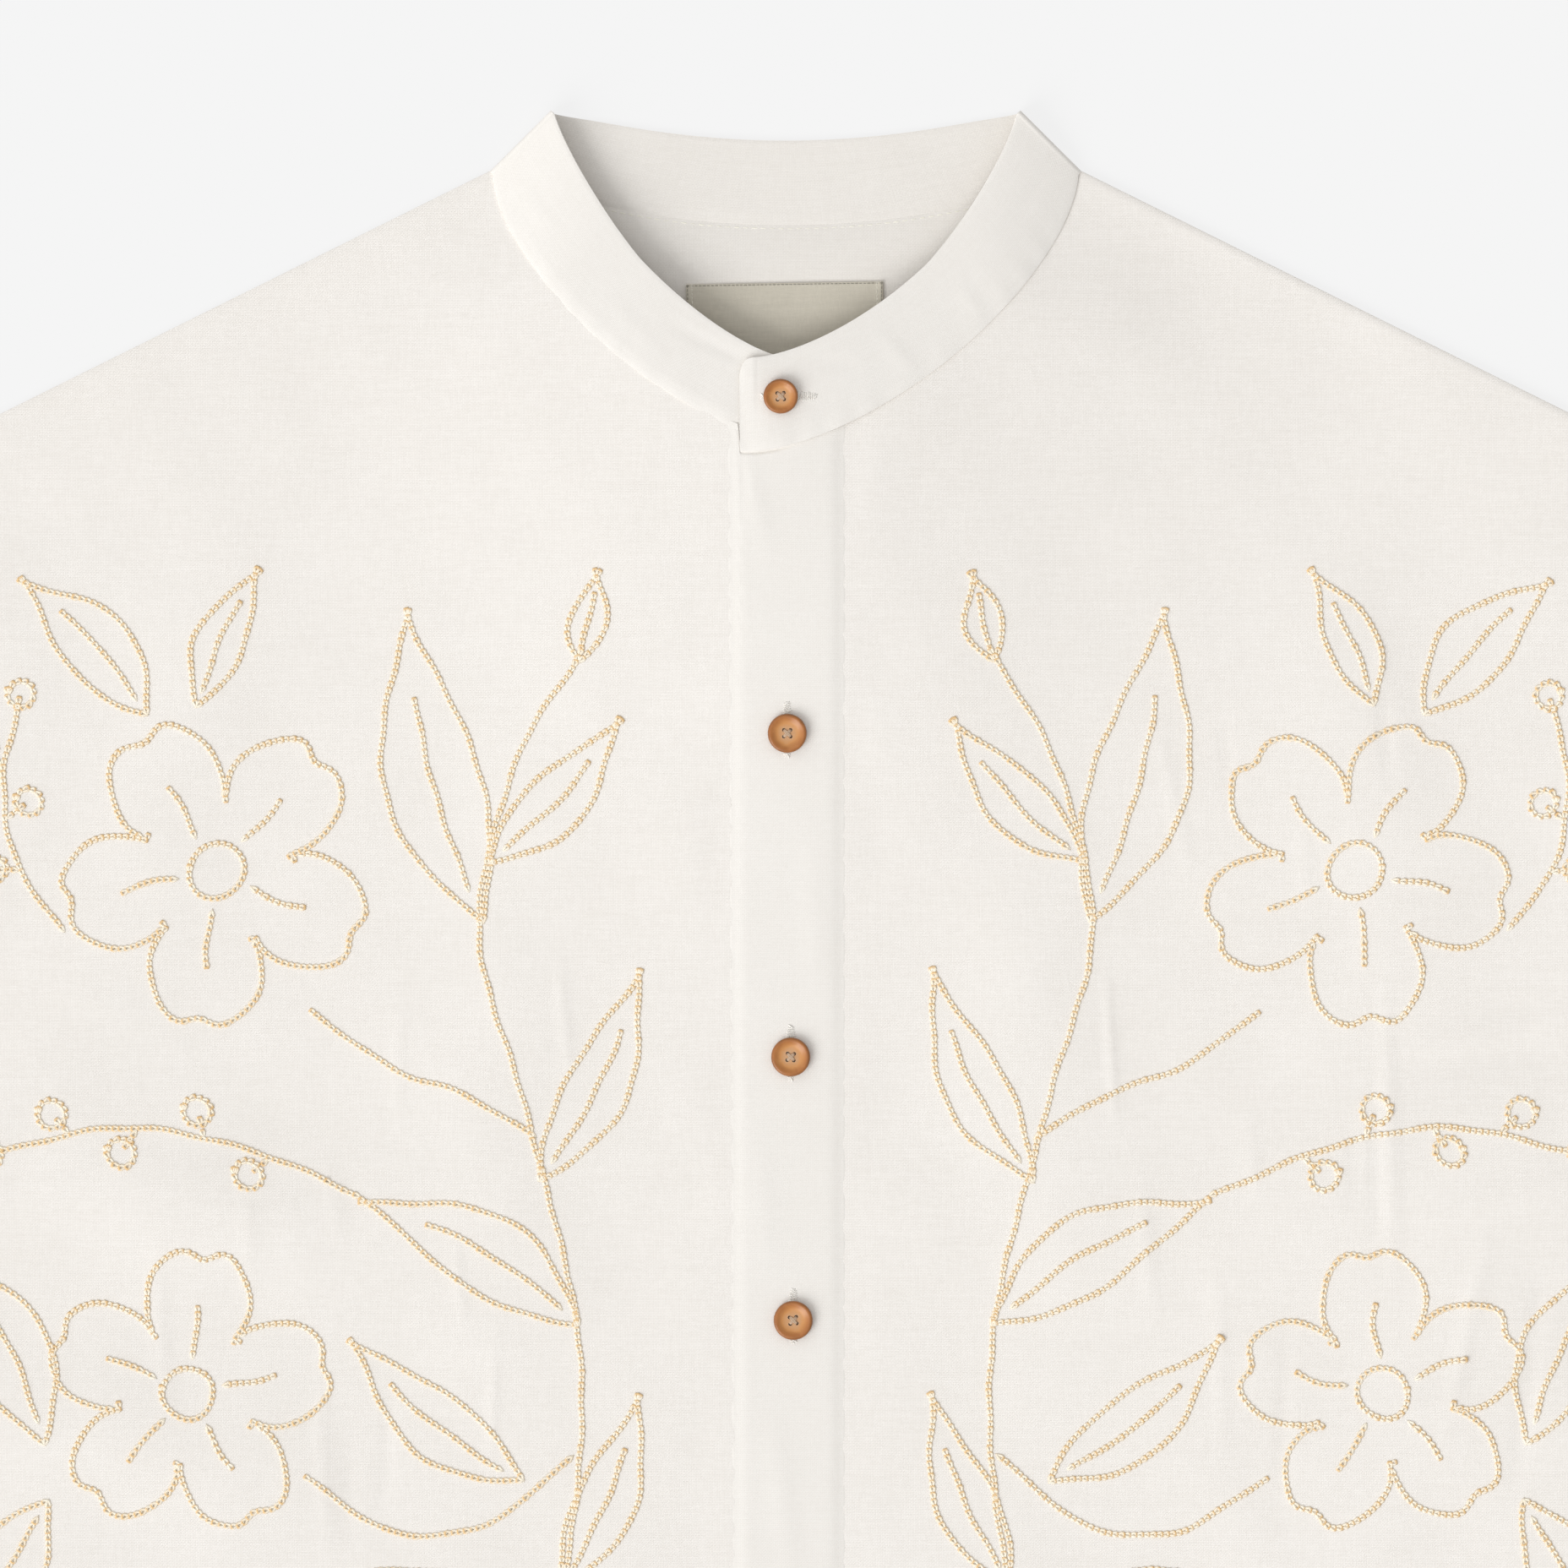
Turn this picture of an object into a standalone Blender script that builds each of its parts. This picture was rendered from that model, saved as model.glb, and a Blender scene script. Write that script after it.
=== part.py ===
"""Band-collar linen shirt, buttoned to the neck and laid flat on its back panel.

Metres, +Z up off the surface it lies on, +Y towards the collar, +X to the right as the shirt is seen
from above. The origin is under the middle of the whole shirt. Every panel is a wall of cloth, open
inside between front and back, and the band collar stands the fronts up a little at the neck.
"""

import math

import bpy
import numpy as np

# Cloth and the gaps between pieces
CLOTH = 0.0012
PLACKET_CLOTH = 0.0014
BAND_CLOTH = 0.0015
LABEL_CLOTH = 0.0010
SEAM_GAP = 0.0004
LAY_GAP = 0.0003
FRONT_REST = CLOTH + LAY_GAP

# Body outline. Length runs from the collar's top corners down to the hem.
LENGTH = 0.760
TOP_Y = LENGTH / 2
HEM_Y = -LENGTH / 2
BODY_HALF = 0.290
HEM_HALF = 0.287
SHOULDER_X = 0.272
SHOULDER_SLOPE = 0.496
UNDERARM_DROP = 0.232
ARMHOLE_BOW = 0.009

# Neckline. The seam joins band to panels, and the band's free edge is its top.
NECK_X = 0.0945
NECK_Y = TOP_Y - 0.0192
SEAM_LOW_Y = 0.2710
SEAM_PAST_MIDDLE = 0.0100
SEAM_ROUNDNESS = 1.52
BACK_SEAM_SAG = 0.0172
BAND_TOP_X = 0.0750
BAND_TOP_LOW_Y = 0.3014
BAND_TOP_ARCHES = {
    # side: past the middle, lowest y, roundness
    -1: (0.0, 0.3005, 1.375),
    1: (0.0038, BAND_TOP_LOW_Y, 1.45),
}
BAND_BACK_SAG = 0.0095

# How the collar stands: half heights of its folds at the sides, how deep they bulge, and how far along
# the band they are felt. The end that laps on top steps up over the other, which dips under it.
SEAM_FOLD = 0.00095
TOP_FOLD = 0.0048
TOP_FOLD_DEPTH = 0.0016
FRONT_FOLD_REACH = 0.30
BACK_FOLD_REACH = 0.14
BAND_TOP_RISE = 0.0036
BAND_LAP = 0.0146
LAP_CORNER = 0.0120
LAP_STEP = 0.0012
LAP_DIP = 0.0007
LAP_STEP_FROM = 0.060
LAP_STEP_TO = 0.015

# Rise of the fronts at the neck, which fades down the front and towards the shoulders
NECK_RISE = 0.0110
RISE_WIDTH = 0.095
RISE_LENGTH = 0.130
RISE_FROM_SHOULDER = 0.070

# Placket, with a slight slant across its length
PLACKET_LEFT = -0.0187
PLACKET_RIGHT = 0.0189
PLACKET_HEM_LEFT = -0.0157
FRONT_EDGE = 0.0125
UNDER_PLACKET = (-0.0040, 0.0060, FRONT_EDGE)

# Sleeves
SLEEVE_LENGTH = 0.235
SLEEVE_SLOPE = math.radians(31)
CUFF_WIDTH = 0.200
CUFF_TURN = math.radians(6)
SLEEVE_PUFF = 0.0030

# Neck label
LABEL_SIZE = (0.0630, 0.0300)
LABEL_TOP_Y = 0.3250
LABEL_X = -0.0004
LABEL_TILT = math.radians(0.9)

# Buttons: distance of each below the collar's top corners, and its offset from the middle
COLLAR_BUTTON = 0.0111
FRONT_BUTTON = 0.0125
BUTTONS = (
    # name, size, x, below top
    ("button_collar", COLLAR_BUTTON, -0.0016, 0.0915),
    ("button_1", FRONT_BUTTON, 0.0005, 0.1990),
    ("button_2", FRONT_BUTTON, 0.0016, 0.3024),
    ("button_3", FRONT_BUTTON, 0.0024, 0.3866),
    ("button_4", FRONT_BUTTON, 0.0026, 0.4810),
    ("button_5", FRONT_BUTTON, 0.0026, 0.5750),
    ("button_6", FRONT_BUTTON, 0.0026, 0.6690),
)
BUTTON_THICK = 0.0026
HOLE_RADIUS = 0.0008
HOLE_SPREAD = 0.0013

# Soft folds lifted in the fronts and sleeves: ends, half width and height. On the fronts they fade out
# towards the outline and the placket.
FOLD_FADE = 0.022
FRONT_FOLDS = (
    # from x, from y, to x, to y, half width, height
    (0.255, 0.060, 0.120, 0.010, 0.020, 0.0034),
    (0.262, -0.010, 0.150, -0.070, 0.022, 0.0028),
    (0.170, 0.235, 0.205, 0.110, 0.022, 0.0024),
    (0.075, 0.140, 0.090, -0.020, 0.022, 0.0020),
    (0.110, -0.120, 0.095, -0.300, 0.024, 0.0030),
    (0.215, -0.150, 0.225, -0.320, 0.024, 0.0026),
    (-0.250, 0.045, -0.135, 0.020, 0.021, 0.0030),
    (-0.264, -0.030, -0.160, -0.060, 0.021, 0.0026),
    (-0.185, 0.240, -0.200, 0.120, 0.023, 0.0022),
    (-0.080, 0.150, -0.100, 0.000, 0.022, 0.0022),
    (-0.095, -0.100, -0.110, -0.280, 0.023, 0.0026),
    (-0.205, -0.180, -0.195, -0.330, 0.024, 0.0030),
)
SLEEVE_FOLDS = (
    # along from, across from, along to, across to, half width, height
    (0.06, 0.72, 0.62, 0.60, 0.085, 0.0034),
    (0.10, 0.34, 0.80, 0.42, 0.080, 0.0026),
)

# How finely each piece is cut up
NECK_STEPS = 12
SHOULDER_STEPS = 8
ARM_STEPS = 7
SIDE_STEPS = 11
BACK_SIDE_STEPS = 3
BAND_FOLD_STEPS = 6
BAND_ACROSS = 3
SLEEVE_ALONG = 8
BUTTON_SIDES = 24
HOLE_SIDES = 8


def clear_scene():
    for obj in list(bpy.data.objects):
        bpy.data.objects.remove(obj, do_unlink=True)


def finish(name, colour, roughness):
    """A plain dielectric material of the piece's own colour."""
    material = bpy.data.materials.new(name)
    material.use_nodes = True
    shader = material.node_tree.nodes["Principled BSDF"]
    shader.inputs["Base Color"].default_value = (*colour, 1)
    shader.inputs["Roughness"].default_value = roughness
    shader.inputs["Metallic"].default_value = 0
    return material


def add_piece(name, points, faces, material, smooth_below=math.radians(40)):
    mesh = bpy.data.meshes.new(name)
    mesh.from_pydata([tuple(point) for point in points], [], faces)
    mesh.validate()
    mesh.materials.append(material)
    mesh.shade_smooth()
    mesh.set_sharp_from_angle(angle=smooth_below)
    piece = bpy.data.objects.new(name, mesh)
    bpy.context.scene.collection.objects.link(piece)
    return piece


def smooth(value):
    """0 below 0, 1 above 1, eased between."""
    value = min(max(value, 0.0), 1.0)
    return value * value * (3 - 2 * value)


def wall(lower, upper):
    """Points and faces of a closed wall between two grids of points of the same rows and columns.

    Seen along its outward side, columns run to the right and rows run upwards.
    """
    rows, columns = lower.shape[:2]
    points = np.concatenate([lower.reshape(-1, 3), upper.reshape(-1, 3)])
    offset = rows * columns
    faces = []
    for row in range(rows - 1):
        for column in range(columns - 1):
            corner = row * columns + column
            ring = (corner, corner + 1, corner + columns + 1, corner + columns)
            faces.append(tuple(offset + index for index in ring))
            faces.append(tuple(reversed(ring)))
    rim = list(range(columns - 1))
    rim += [row * columns + columns - 1 for row in range(rows - 1)]
    rim += [(rows - 1) * columns + column for column in range(columns - 1, 0, -1)]
    rim += [row * columns for row in range(rows - 1, 0, -1)]
    for start, end in zip(rim, rim[1:] + rim[:1]):
        faces.append((start, end, offset + end, offset + start))
    return points, faces


def blend_patch(bottom, top, left, right):
    """A grid inside four edge lines: bottom and top run left to right, left and right run upwards."""
    bottom, top, left, right = (np.asarray(line, float) for line in (bottom, top, left, right))
    across = line_fractions(top)[None, :, None]
    up = line_fractions(right)[:, None, None]
    corners = (
        (1 - across) * (1 - up) * bottom[0]
        + across * (1 - up) * bottom[-1]
        + (1 - across) * up * top[0]
        + across * up * top[-1]
    )
    between_rows = (1 - up) * bottom[None] + up * top[None]
    between_columns = (1 - across) * left[:, None] + across * right[:, None]
    return between_rows + between_columns - corners


def line_fractions(line):
    """How far along its own length each point of a line lies."""
    steps = np.linalg.norm(np.diff(line, axis=0), axis=1)
    travelled = np.concatenate([[0], np.cumsum(steps)])
    return travelled / travelled[-1]


def arch(reach, past_middle, high, low, roundness, turn):
    """A point of one half of the neckline.

    turn is 0 at its lowest point, past the middle, and a quarter circle at its outer end. A roundness
    of 2 would be an ellipse, and less draws it towards a V.
    """
    power = 2 / roundness
    x = (reach + past_middle) * math.sin(turn) ** power - past_middle
    y = high - (high - low) * math.cos(turn) ** power
    return x, y


def seam_arch(turn):
    return arch(NECK_X, SEAM_PAST_MIDDLE, NECK_Y, SEAM_LOW_Y, SEAM_ROUNDNESS, turn)


def draw_in(x, y, depth, near_fold):
    """A point near the band's fold, moved in from the fold's outer face to where its curve starts."""
    inset = (depth + BAND_CLOTH / 2) * near_fold / math.sqrt(2)
    return x - inset, y - inset


def front_seam(turn):
    """Band's lower edge on a front, as plan x and y."""
    return draw_in(*seam_arch(turn), SEAM_FOLD, near_front_fold(turn))


def near_front_fold(turn):
    return math.exp(-(((math.pi / 2 - turn) / FRONT_FOLD_REACH) ** 2))


def near_back_fold(fraction):
    return math.exp(-(((1 - fraction) / BACK_FOLD_REACH) ** 2))


def seam_turns():
    """Where the front seam is cut up, from its lowest point out to the fold, for band and panels alike."""
    under_placket = [seam_turn(x) for x in (-SEAM_PAST_MIDDLE, *UNDER_PLACKET)]
    start = seam_turn(PLACKET_RIGHT + LAY_GAP)
    spread = [(step / NECK_STEPS) ** 0.9 for step in range(NECK_STEPS + 1)]
    return under_placket, [start + (math.pi / 2 - start) * fraction for fraction in spread]


def back_fractions():
    return [math.sin(math.pi / 2 * step / NECK_STEPS) for step in range(NECK_STEPS + 1)]


def back_seam(fraction):
    """Band's lower edge on the back, from the middle at 0 to the fold at 1."""
    x = NECK_X * fraction
    return draw_in(x, back_seam_y(x), SEAM_FOLD, near_back_fold(fraction))


def seam_turn(x):
    """The turn at which the seam's arch passes x."""
    reach = (x + SEAM_PAST_MIDDLE) / (NECK_X + SEAM_PAST_MIDDLE)
    return math.asin(min(max(reach, 0.0), 1.0) ** (SEAM_ROUNDNESS / 2))


def back_seam_y(x):
    return NECK_Y - BACK_SEAM_SAG * (1 - min(abs(x) / NECK_X, 1.0) ** 2.1)


def back_band_top_y(x):
    return TOP_Y - BAND_BACK_SAG * (1 - min(abs(x) / BAND_TOP_X, 1.0) ** 1.95)


def shoulder_y(x):
    return NECK_Y - SHOULDER_SLOPE * (abs(x) - NECK_X)


def armhole(fraction, side):
    """A point of the armhole, from the shoulder point at 0 to the underarm at 1."""
    shoulder = shoulder_y(SHOULDER_X)
    x = SHOULDER_X + (BODY_HALF - SHOULDER_X) * fraction - ARMHOLE_BOW * math.sin(math.pi * fraction)
    return side * x, shoulder - UNDERARM_DROP * fraction


def fold_height(x, y, folds):
    """Height of the nearest soft folds at a point, each a rounded ridge that dies away at its ends."""
    total = 0.0
    for from_x, from_y, to_x, to_y, half_width, height in folds:
        along_x = to_x - from_x
        along_y = to_y - from_y
        length = math.hypot(along_x, along_y)
        along = ((x - from_x) * along_x + (y - from_y) * along_y) / length**2
        aside = ((x - from_x) * along_y - (y - from_y) * along_x) / length
        end = max(0.0, -along, along - 1) * length
        reach = math.sin(math.pi * min(max(along, 0.06), 0.94)) ** 0.5
        total += height * reach * math.exp(-(aside**2 + end**2) / half_width**2)
    return total


def front_rest(x, y):
    """Height of the underside of the fronts: on the back at their edges, raised at the neck."""
    past_seam = max(0.0, SEAM_LOW_Y - y)
    below_shoulder = (shoulder_y(x) - y) / math.hypot(1, SHOULDER_SLOPE)
    spread = math.exp(-((x / RISE_WIDTH) ** 2) - (past_seam / RISE_LENGTH) ** 2)
    return FRONT_REST + NECK_RISE * spread * smooth(below_shoulder / RISE_FROM_SHOULDER)


def front_height(x, y):
    """Underside of a front panel with its folds."""
    armhole_fraction = (shoulder_y(SHOULDER_X) - y) / UNDERARM_DROP
    if armhole_fraction < 1:
        side_x = armhole(max(armhole_fraction, 0.0), 1)[0]
    else:
        side_x = HEM_HALF
    inside = min(side_x - abs(x), y - HEM_Y, shoulder_y(x) - y, abs(x) - PLACKET_RIGHT)
    return front_rest(x, y) + smooth(inside / FOLD_FADE) * fold_height(x, y, FRONT_FOLDS)


def side_line(side, steps):
    """The outer edge of a panel, from the hem up the side seam and the armhole to the shoulder."""
    underarm_x, underarm_y = armhole(1, side)
    line = []
    for fraction in [step / steps for step in range(steps + 1)]:
        x = side * HEM_HALF + (underarm_x - side * HEM_HALF) * fraction
        line.append((x, HEM_Y + (underarm_y - HEM_Y) * fraction))
    for step in range(ARM_STEPS - 1, -1, -1):
        line.append(armhole(step / ARM_STEPS, side))
    return line


def shoulder_line():
    """The shoulder edge of a panel, from the neck out."""
    neck_end = NECK_X + SEAM_GAP
    xs = [neck_end + (SHOULDER_X - neck_end) * step / SHOULDER_STEPS for step in range(SHOULDER_STEPS + 1)]
    return [(x, shoulder_y(x)) for x in xs]


def lift_sheet(plan, height, thickness):
    """Lower and upper grids of a panel whose plan is a grid of x, y and whose underside is height."""
    heights = np.array([[height(x, y) for x, y in row] for row in plan])
    lower = np.dstack([plan, heights])
    upper = np.dstack([plan, heights + thickness])
    return lower, upper


def make_back(material):
    left = side_line(-1, BACK_SIDE_STEPS)
    right = side_line(1, BACK_SIDE_STEPS)
    half = []
    for fraction in back_fractions():
        x, y = back_seam(fraction)
        half.append((x + SEAM_GAP * fraction**4, y - SEAM_GAP))
    half += shoulder_line()
    top = [(-x, y) for x, y in reversed(half[1:])] + half
    bottom = [(x * HEM_HALF / SHOULDER_X, HEM_Y) for x, y in top]
    plan = blend_patch(bottom, top, left, right)
    lower, upper = lift_sheet(plan, lambda x, y: 0.0, CLOTH)
    return add_piece("back", *wall(lower, upper), material)


def front_plan(side):
    """Plan grid of a front panel, columns from its inner edge outwards.

    The left front runs on under the placket almost to its right edge, where the right front starts.
    """
    right = side_line(side, SIDE_STEPS)
    rows = len(right)
    gap = SEAM_GAP
    inner = [FRONT_EDGE + gap]
    if side < 0:
        inner = [-FRONT_EDGE, -SEAM_PAST_MIDDLE, *UNDER_PLACKET]
    top = []
    for turn in seam_turns()[1]:
        x, y = front_seam(turn)
        top.append((side * (x + gap * (x / NECK_X) ** 3), y - gap))
    top += [(side * x, y) for x, y in shoulder_line()]
    first_x = top[0][0]
    stretch = (HEM_HALF - abs(first_x)) / (SHOULDER_X - abs(first_x))
    bottom = [(first_x + (x - first_x) * stretch, HEM_Y) for x, y in top]
    ups = line_fractions(np.array(right))
    left = [(first_x, HEM_Y + (top[0][1] - HEM_Y) * up) for up in ups]
    main = blend_patch(bottom, top, left, right)
    lap = np.zeros((rows, len(inner), 2))
    for column, out_from_middle in enumerate(inner):
        x = side * out_from_middle
        seam_y = seam_arch(seam_turn(out_from_middle))[1] - gap
        for row, up in enumerate(ups):
            lap[row, column] = (x, HEM_Y + (seam_y - HEM_Y) * up)
    return np.concatenate([lap, main], axis=1)


def make_front(name, side, material):
    plan = front_plan(side)
    if side < 0:
        plan = plan[:, ::-1]
    lower, upper = lift_sheet(plan, front_height, CLOTH)
    return add_piece(name, *wall(lower, upper), material)


def make_placket(material):
    """The band down the front. Its rows are the fronts' own, and it lies on their points, moved out."""
    ups = line_fractions(np.array(side_line(1, SIDE_STEPS)))
    columns = (
        # x at the collar, lower edge of which band end
        (PLACKET_LEFT, -1),
        (-BAND_LAP - 0.00060, -1),
        (-BAND_LAP - 0.00045, 1),
        (-SEAM_PAST_MIDDLE, 1),
        *((x, 1) for x in UNDER_PLACKET),
        (PLACKET_RIGHT, 1),
    )
    plan = np.zeros((len(ups), len(columns), 2))
    for column, (x, side) in enumerate(columns):
        seam_y = seam_arch(seam_turn(side * x))[1] - SEAM_GAP
        slant = (PLACKET_HEM_LEFT - PLACKET_LEFT) * (PLACKET_RIGHT - x) / (PLACKET_RIGHT - PLACKET_LEFT)
        for row, up in enumerate(ups):
            plan[row, column] = (x + slant * (1 - up), HEM_Y + (seam_y - HEM_Y) * up)
    lower, upper = lift_sheet(plan, lambda x, y: front_height(x, y) + CLOTH + SEAM_GAP, PLACKET_CLOTH)
    return add_piece("placket", *wall(lower, upper), material)


def band_front_stations(side):
    """Seam and top points of one front half of the band, from its outer fold to its front end."""
    stations = []
    under_placket, open_run = seam_turns()
    for turn in reversed(under_placket + open_run):
        seam = front_seam(turn)
        past_middle, low, roundness = BAND_TOP_ARCHES[side]
        top = arch(BAND_TOP_X, past_middle, TOP_Y, low, roundness, turn)
        top = draw_in(*top, TOP_FOLD_DEPTH, near_front_fold(turn))
        lapped = smooth((LAP_STEP_FROM - seam[0]) / (LAP_STEP_FROM - LAP_STEP_TO))
        step_up = (LAP_STEP if side > 0 else -LAP_DIP) * lapped
        seam_z = front_rest(*seam) + SEAM_GAP + BAND_CLOTH / 2 + step_up
        top_z = 2 * TOP_FOLD + BAND_CLOTH / 2 + BAND_TOP_RISE * math.cos(turn) ** 1.3 + step_up
        stations.append((seam, top, seam_z, top_z))
    return stations


def lap_end_stations(last, lap):
    """The last stretch of the band's front end, past the middle, with its top corner rounded off."""
    seam, top, seam_z, top_z = last
    stations = []
    for fraction in (0.35, 0.65, 0.85, 0.96, 1.0):
        seam_x = seam[0] + (-lap - seam[0]) * fraction
        top_x = top[0] + (-lap - top[0]) * fraction
        drop = LAP_CORNER * (1 - math.sqrt(1 - fraction**3.5) + 0.1 * fraction)
        stations.append(((seam_x, seam[1]), (top_x, top[1] - drop), seam_z, top_z))
    return stations


def band_half(side):
    """Rulings of one half of the band, from its front end round the fold to the back's middle."""
    front = band_front_stations(side)
    rulings = []
    lap = BAND_LAP if side > 0 else FRONT_EDGE
    for seam, top, seam_z, top_z in reversed(lap_end_stations(front[-1], lap)):
        rulings.append(((*seam, seam_z), (*top, top_z)))
    for seam, top, seam_z, top_z in reversed(front[1:]):
        rulings.append(((*seam, seam_z), (*top, top_z)))
    for step in range(BAND_FOLD_STEPS + 1):
        angle = math.pi * (0.5 - step / BAND_FOLD_STEPS)
        ends = []
        for corner_x, corner_y, depth, half_height in (
            (NECK_X, NECK_Y, SEAM_FOLD, SEAM_FOLD),
            (BAND_TOP_X, TOP_Y, TOP_FOLD_DEPTH, TOP_FOLD),
        ):
            inset = (depth + BAND_CLOTH / 2 - depth * math.cos(angle)) / math.sqrt(2)
            upright = (half_height - depth) * min(max(angle / math.radians(30), -1), 1)
            height = BAND_CLOTH / 2 + half_height + upright + depth * math.sin(angle)
            ends.append((corner_x - inset, corner_y - inset, height))
        rulings.append(tuple(ends))
    for fraction in reversed(back_fractions()[:-1]):
        top_x = BAND_TOP_X * fraction
        top = draw_in(top_x, back_band_top_y(top_x), TOP_FOLD_DEPTH, near_back_fold(fraction))
        rulings.append(((*back_seam(fraction), BAND_CLOTH / 2), (*top, BAND_CLOTH / 2)))
    return [tuple((side * x, y, z) for x, y, z in ruling) for ruling in rulings]


def surface_normals(grid):
    """Unit normals of a grid of points, by its neighbours' differences."""
    along = np.gradient(grid, axis=1)
    up = np.gradient(grid, axis=0)
    normals = np.cross(along, up)
    return normals / np.linalg.norm(normals, axis=2, keepdims=True)


def make_collar_band(material):
    """One wall from the left front end, round the back, to the right end lapped on top."""
    left = band_half(-1)
    right = band_half(1)
    rulings = np.array(left + right[-2::-1])
    fractions = np.linspace(0, 1, BAND_ACROSS + 1)
    middle = np.array([rulings[:, 0] + (rulings[:, 1] - rulings[:, 0]) * f for f in fractions])
    normals = surface_normals(middle)
    inner = middle + normals * BAND_CLOTH / 2
    outer = middle - normals * BAND_CLOTH / 2
    return add_piece("collar_band", *wall(outer, inner), material)


def sleeve_plan(side, along, across):
    """Plan point of a laid sleeve: along runs from armhole to cuff, across from its top fold down."""
    arm_x, arm_y = armhole(across, 1)
    shoulder_x, shoulder_top = armhole(0, 1)
    cuff_top_x = shoulder_x + SLEEVE_LENGTH * math.cos(SLEEVE_SLOPE)
    cuff_top_y = shoulder_top - SLEEVE_LENGTH * math.sin(SLEEVE_SLOPE)
    cuff_angle = SLEEVE_SLOPE + CUFF_TURN
    cuff_x = cuff_top_x - CUFF_WIDTH * math.sin(cuff_angle) * across
    cuff_y = cuff_top_y - CUFF_WIDTH * math.cos(cuff_angle) * across
    x = arm_x + SEAM_GAP + (cuff_x - arm_x) * along
    y = arm_y + (cuff_y - arm_y) * along
    return side * x, y


def make_sleeve(name, side, material):
    """A tube of cloth laid flat: rings of an outer and an inner loop, open at armhole and cuff."""
    edge_height = CLOTH + LAY_GAP / 2
    across = [step / ARM_STEPS for step in range(ARM_STEPS + 1)]
    rings = []
    for station in range(SLEEVE_ALONG + 1):
        along = station / SLEEVE_ALONG
        arch_up = math.sin(math.pi * min(max(along, 0.0), 1.0)) ** 0.7
        tops = []
        for fraction in across[1:-1]:
            puff = SLEEVE_PUFF * math.sin(math.pi * fraction) ** 0.8
            fold = fold_height(along, fraction, SLEEVE_FOLDS)
            tops.append(2 * CLOTH + LAY_GAP + arch_up * (puff + fold * math.sin(math.pi * fraction) ** 0.5))
        middle = [sleeve_plan(side, along, fraction) for fraction in across[1:-1]]
        width = math.dist(sleeve_plan(side, along, 0), sleeve_plan(side, along, 1))
        inset = CLOTH / width
        outer = [(*sleeve_plan(side, along, 0), edge_height)]
        outer += [(*point, 0.0) for point in middle]
        outer += [(*sleeve_plan(side, along, 1), edge_height)]
        outer += [(*point, top) for point, top in zip(reversed(middle), reversed(tops))]
        inner = [(*sleeve_plan(side, along, inset), edge_height)]
        inner += [(*point, CLOTH) for point in middle]
        inner += [(*sleeve_plan(side, along, 1 - inset), edge_height)]
        inner += [(*point, top - CLOTH) for point, top in zip(reversed(middle), reversed(tops))]
        rings.append((outer, inner))
    count = len(rings[0][0])
    points = [point for outer, inner in rings for point in outer + inner]
    faces = []
    for station in range(SLEEVE_ALONG):
        here = station * 2 * count
        there = here + 2 * count
        for index in range(count):
            after = (index + 1) % count
            faces.append((here + index, there + index, there + after, here + after))
            faces.append((here + count + after, there + count + after, there + count + index, here + count + index))
    last = SLEEVE_ALONG * 2 * count
    for index in range(count):
        after = (index + 1) % count
        faces.append((index, after, count + after, count + index))
        faces.append((last + after, last + index, last + count + index, last + count + after))
    if side < 0:
        faces = [tuple(reversed(face)) for face in faces]
    return add_piece(name, points, faces, material)


def make_label(material):
    """The label sewn inside the back, a flat woven rectangle turned very slightly."""
    width, height = LABEL_SIZE
    turned = (math.cos(LABEL_TILT), math.sin(LABEL_TILT))
    plan = np.zeros((3, 5, 2))
    for row in range(3):
        for column in range(5):
            x = (column / 4 - 0.5) * width
            y = (row / 2 - 1) * height
            plan[row, column] = (
                LABEL_X + x * turned[0] - y * turned[1],
                LABEL_TOP_Y + x * turned[1] + y * turned[0],
            )
    lower, upper = lift_sheet(plan, lambda x, y: FRONT_REST, LABEL_CLOTH)
    return add_piece("neck_label", *wall(lower, upper), material)


def button_profile(radius):
    """Half section of a turned button, from its bottom centre outwards and up to its dished top."""
    return (
        # radius, height
        (radius * 0.62, 0.0),
        (radius * 0.93, BUTTON_THICK * 0.28),
        (radius * 1.00, BUTTON_THICK * 0.62),
        (radius * 0.95, BUTTON_THICK * 0.92),
        (radius * 0.84, BUTTON_THICK * 1.00),
        (radius * 0.70, BUTTON_THICK * 0.86),
        (radius * 0.60, BUTTON_THICK * 0.70),
    )


def turned_solid(profile, sides):
    points = []
    for radius, height in profile:
        for side in range(sides):
            angle = 2 * math.pi * side / sides
            points.append((radius * math.cos(angle), radius * math.sin(angle), height))
    faces = [tuple(range(sides - 1, -1, -1))]
    for ring in range(len(profile) - 1):
        for side in range(sides):
            after = (side + 1) % sides
            low = ring * sides
            high = low + sides
            faces.append((low + side, low + after, high + after, high + side))
    top = (len(profile) - 1) * sides
    faces.append(tuple(range(top, top + sides)))
    return points, faces


def hole_cutter():
    """Four thread holes as one mesh of four separate pins, which the buttons are cut by."""
    points = []
    faces = []
    for spot in range(4):
        angle = math.pi / 4 + math.pi / 2 * spot
        centre = (HOLE_SPREAD * math.cos(angle), HOLE_SPREAD * math.sin(angle))
        pin, pin_faces = turned_solid(((HOLE_RADIUS, -0.001), (HOLE_RADIUS, BUTTON_THICK + 0.001)), HOLE_SIDES)
        first = len(points)
        points += [(x + centre[0], y + centre[1], z) for x, y, z in pin]
        faces += [tuple(first + index for index in face) for face in pin_faces]
    return points, faces


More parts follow.
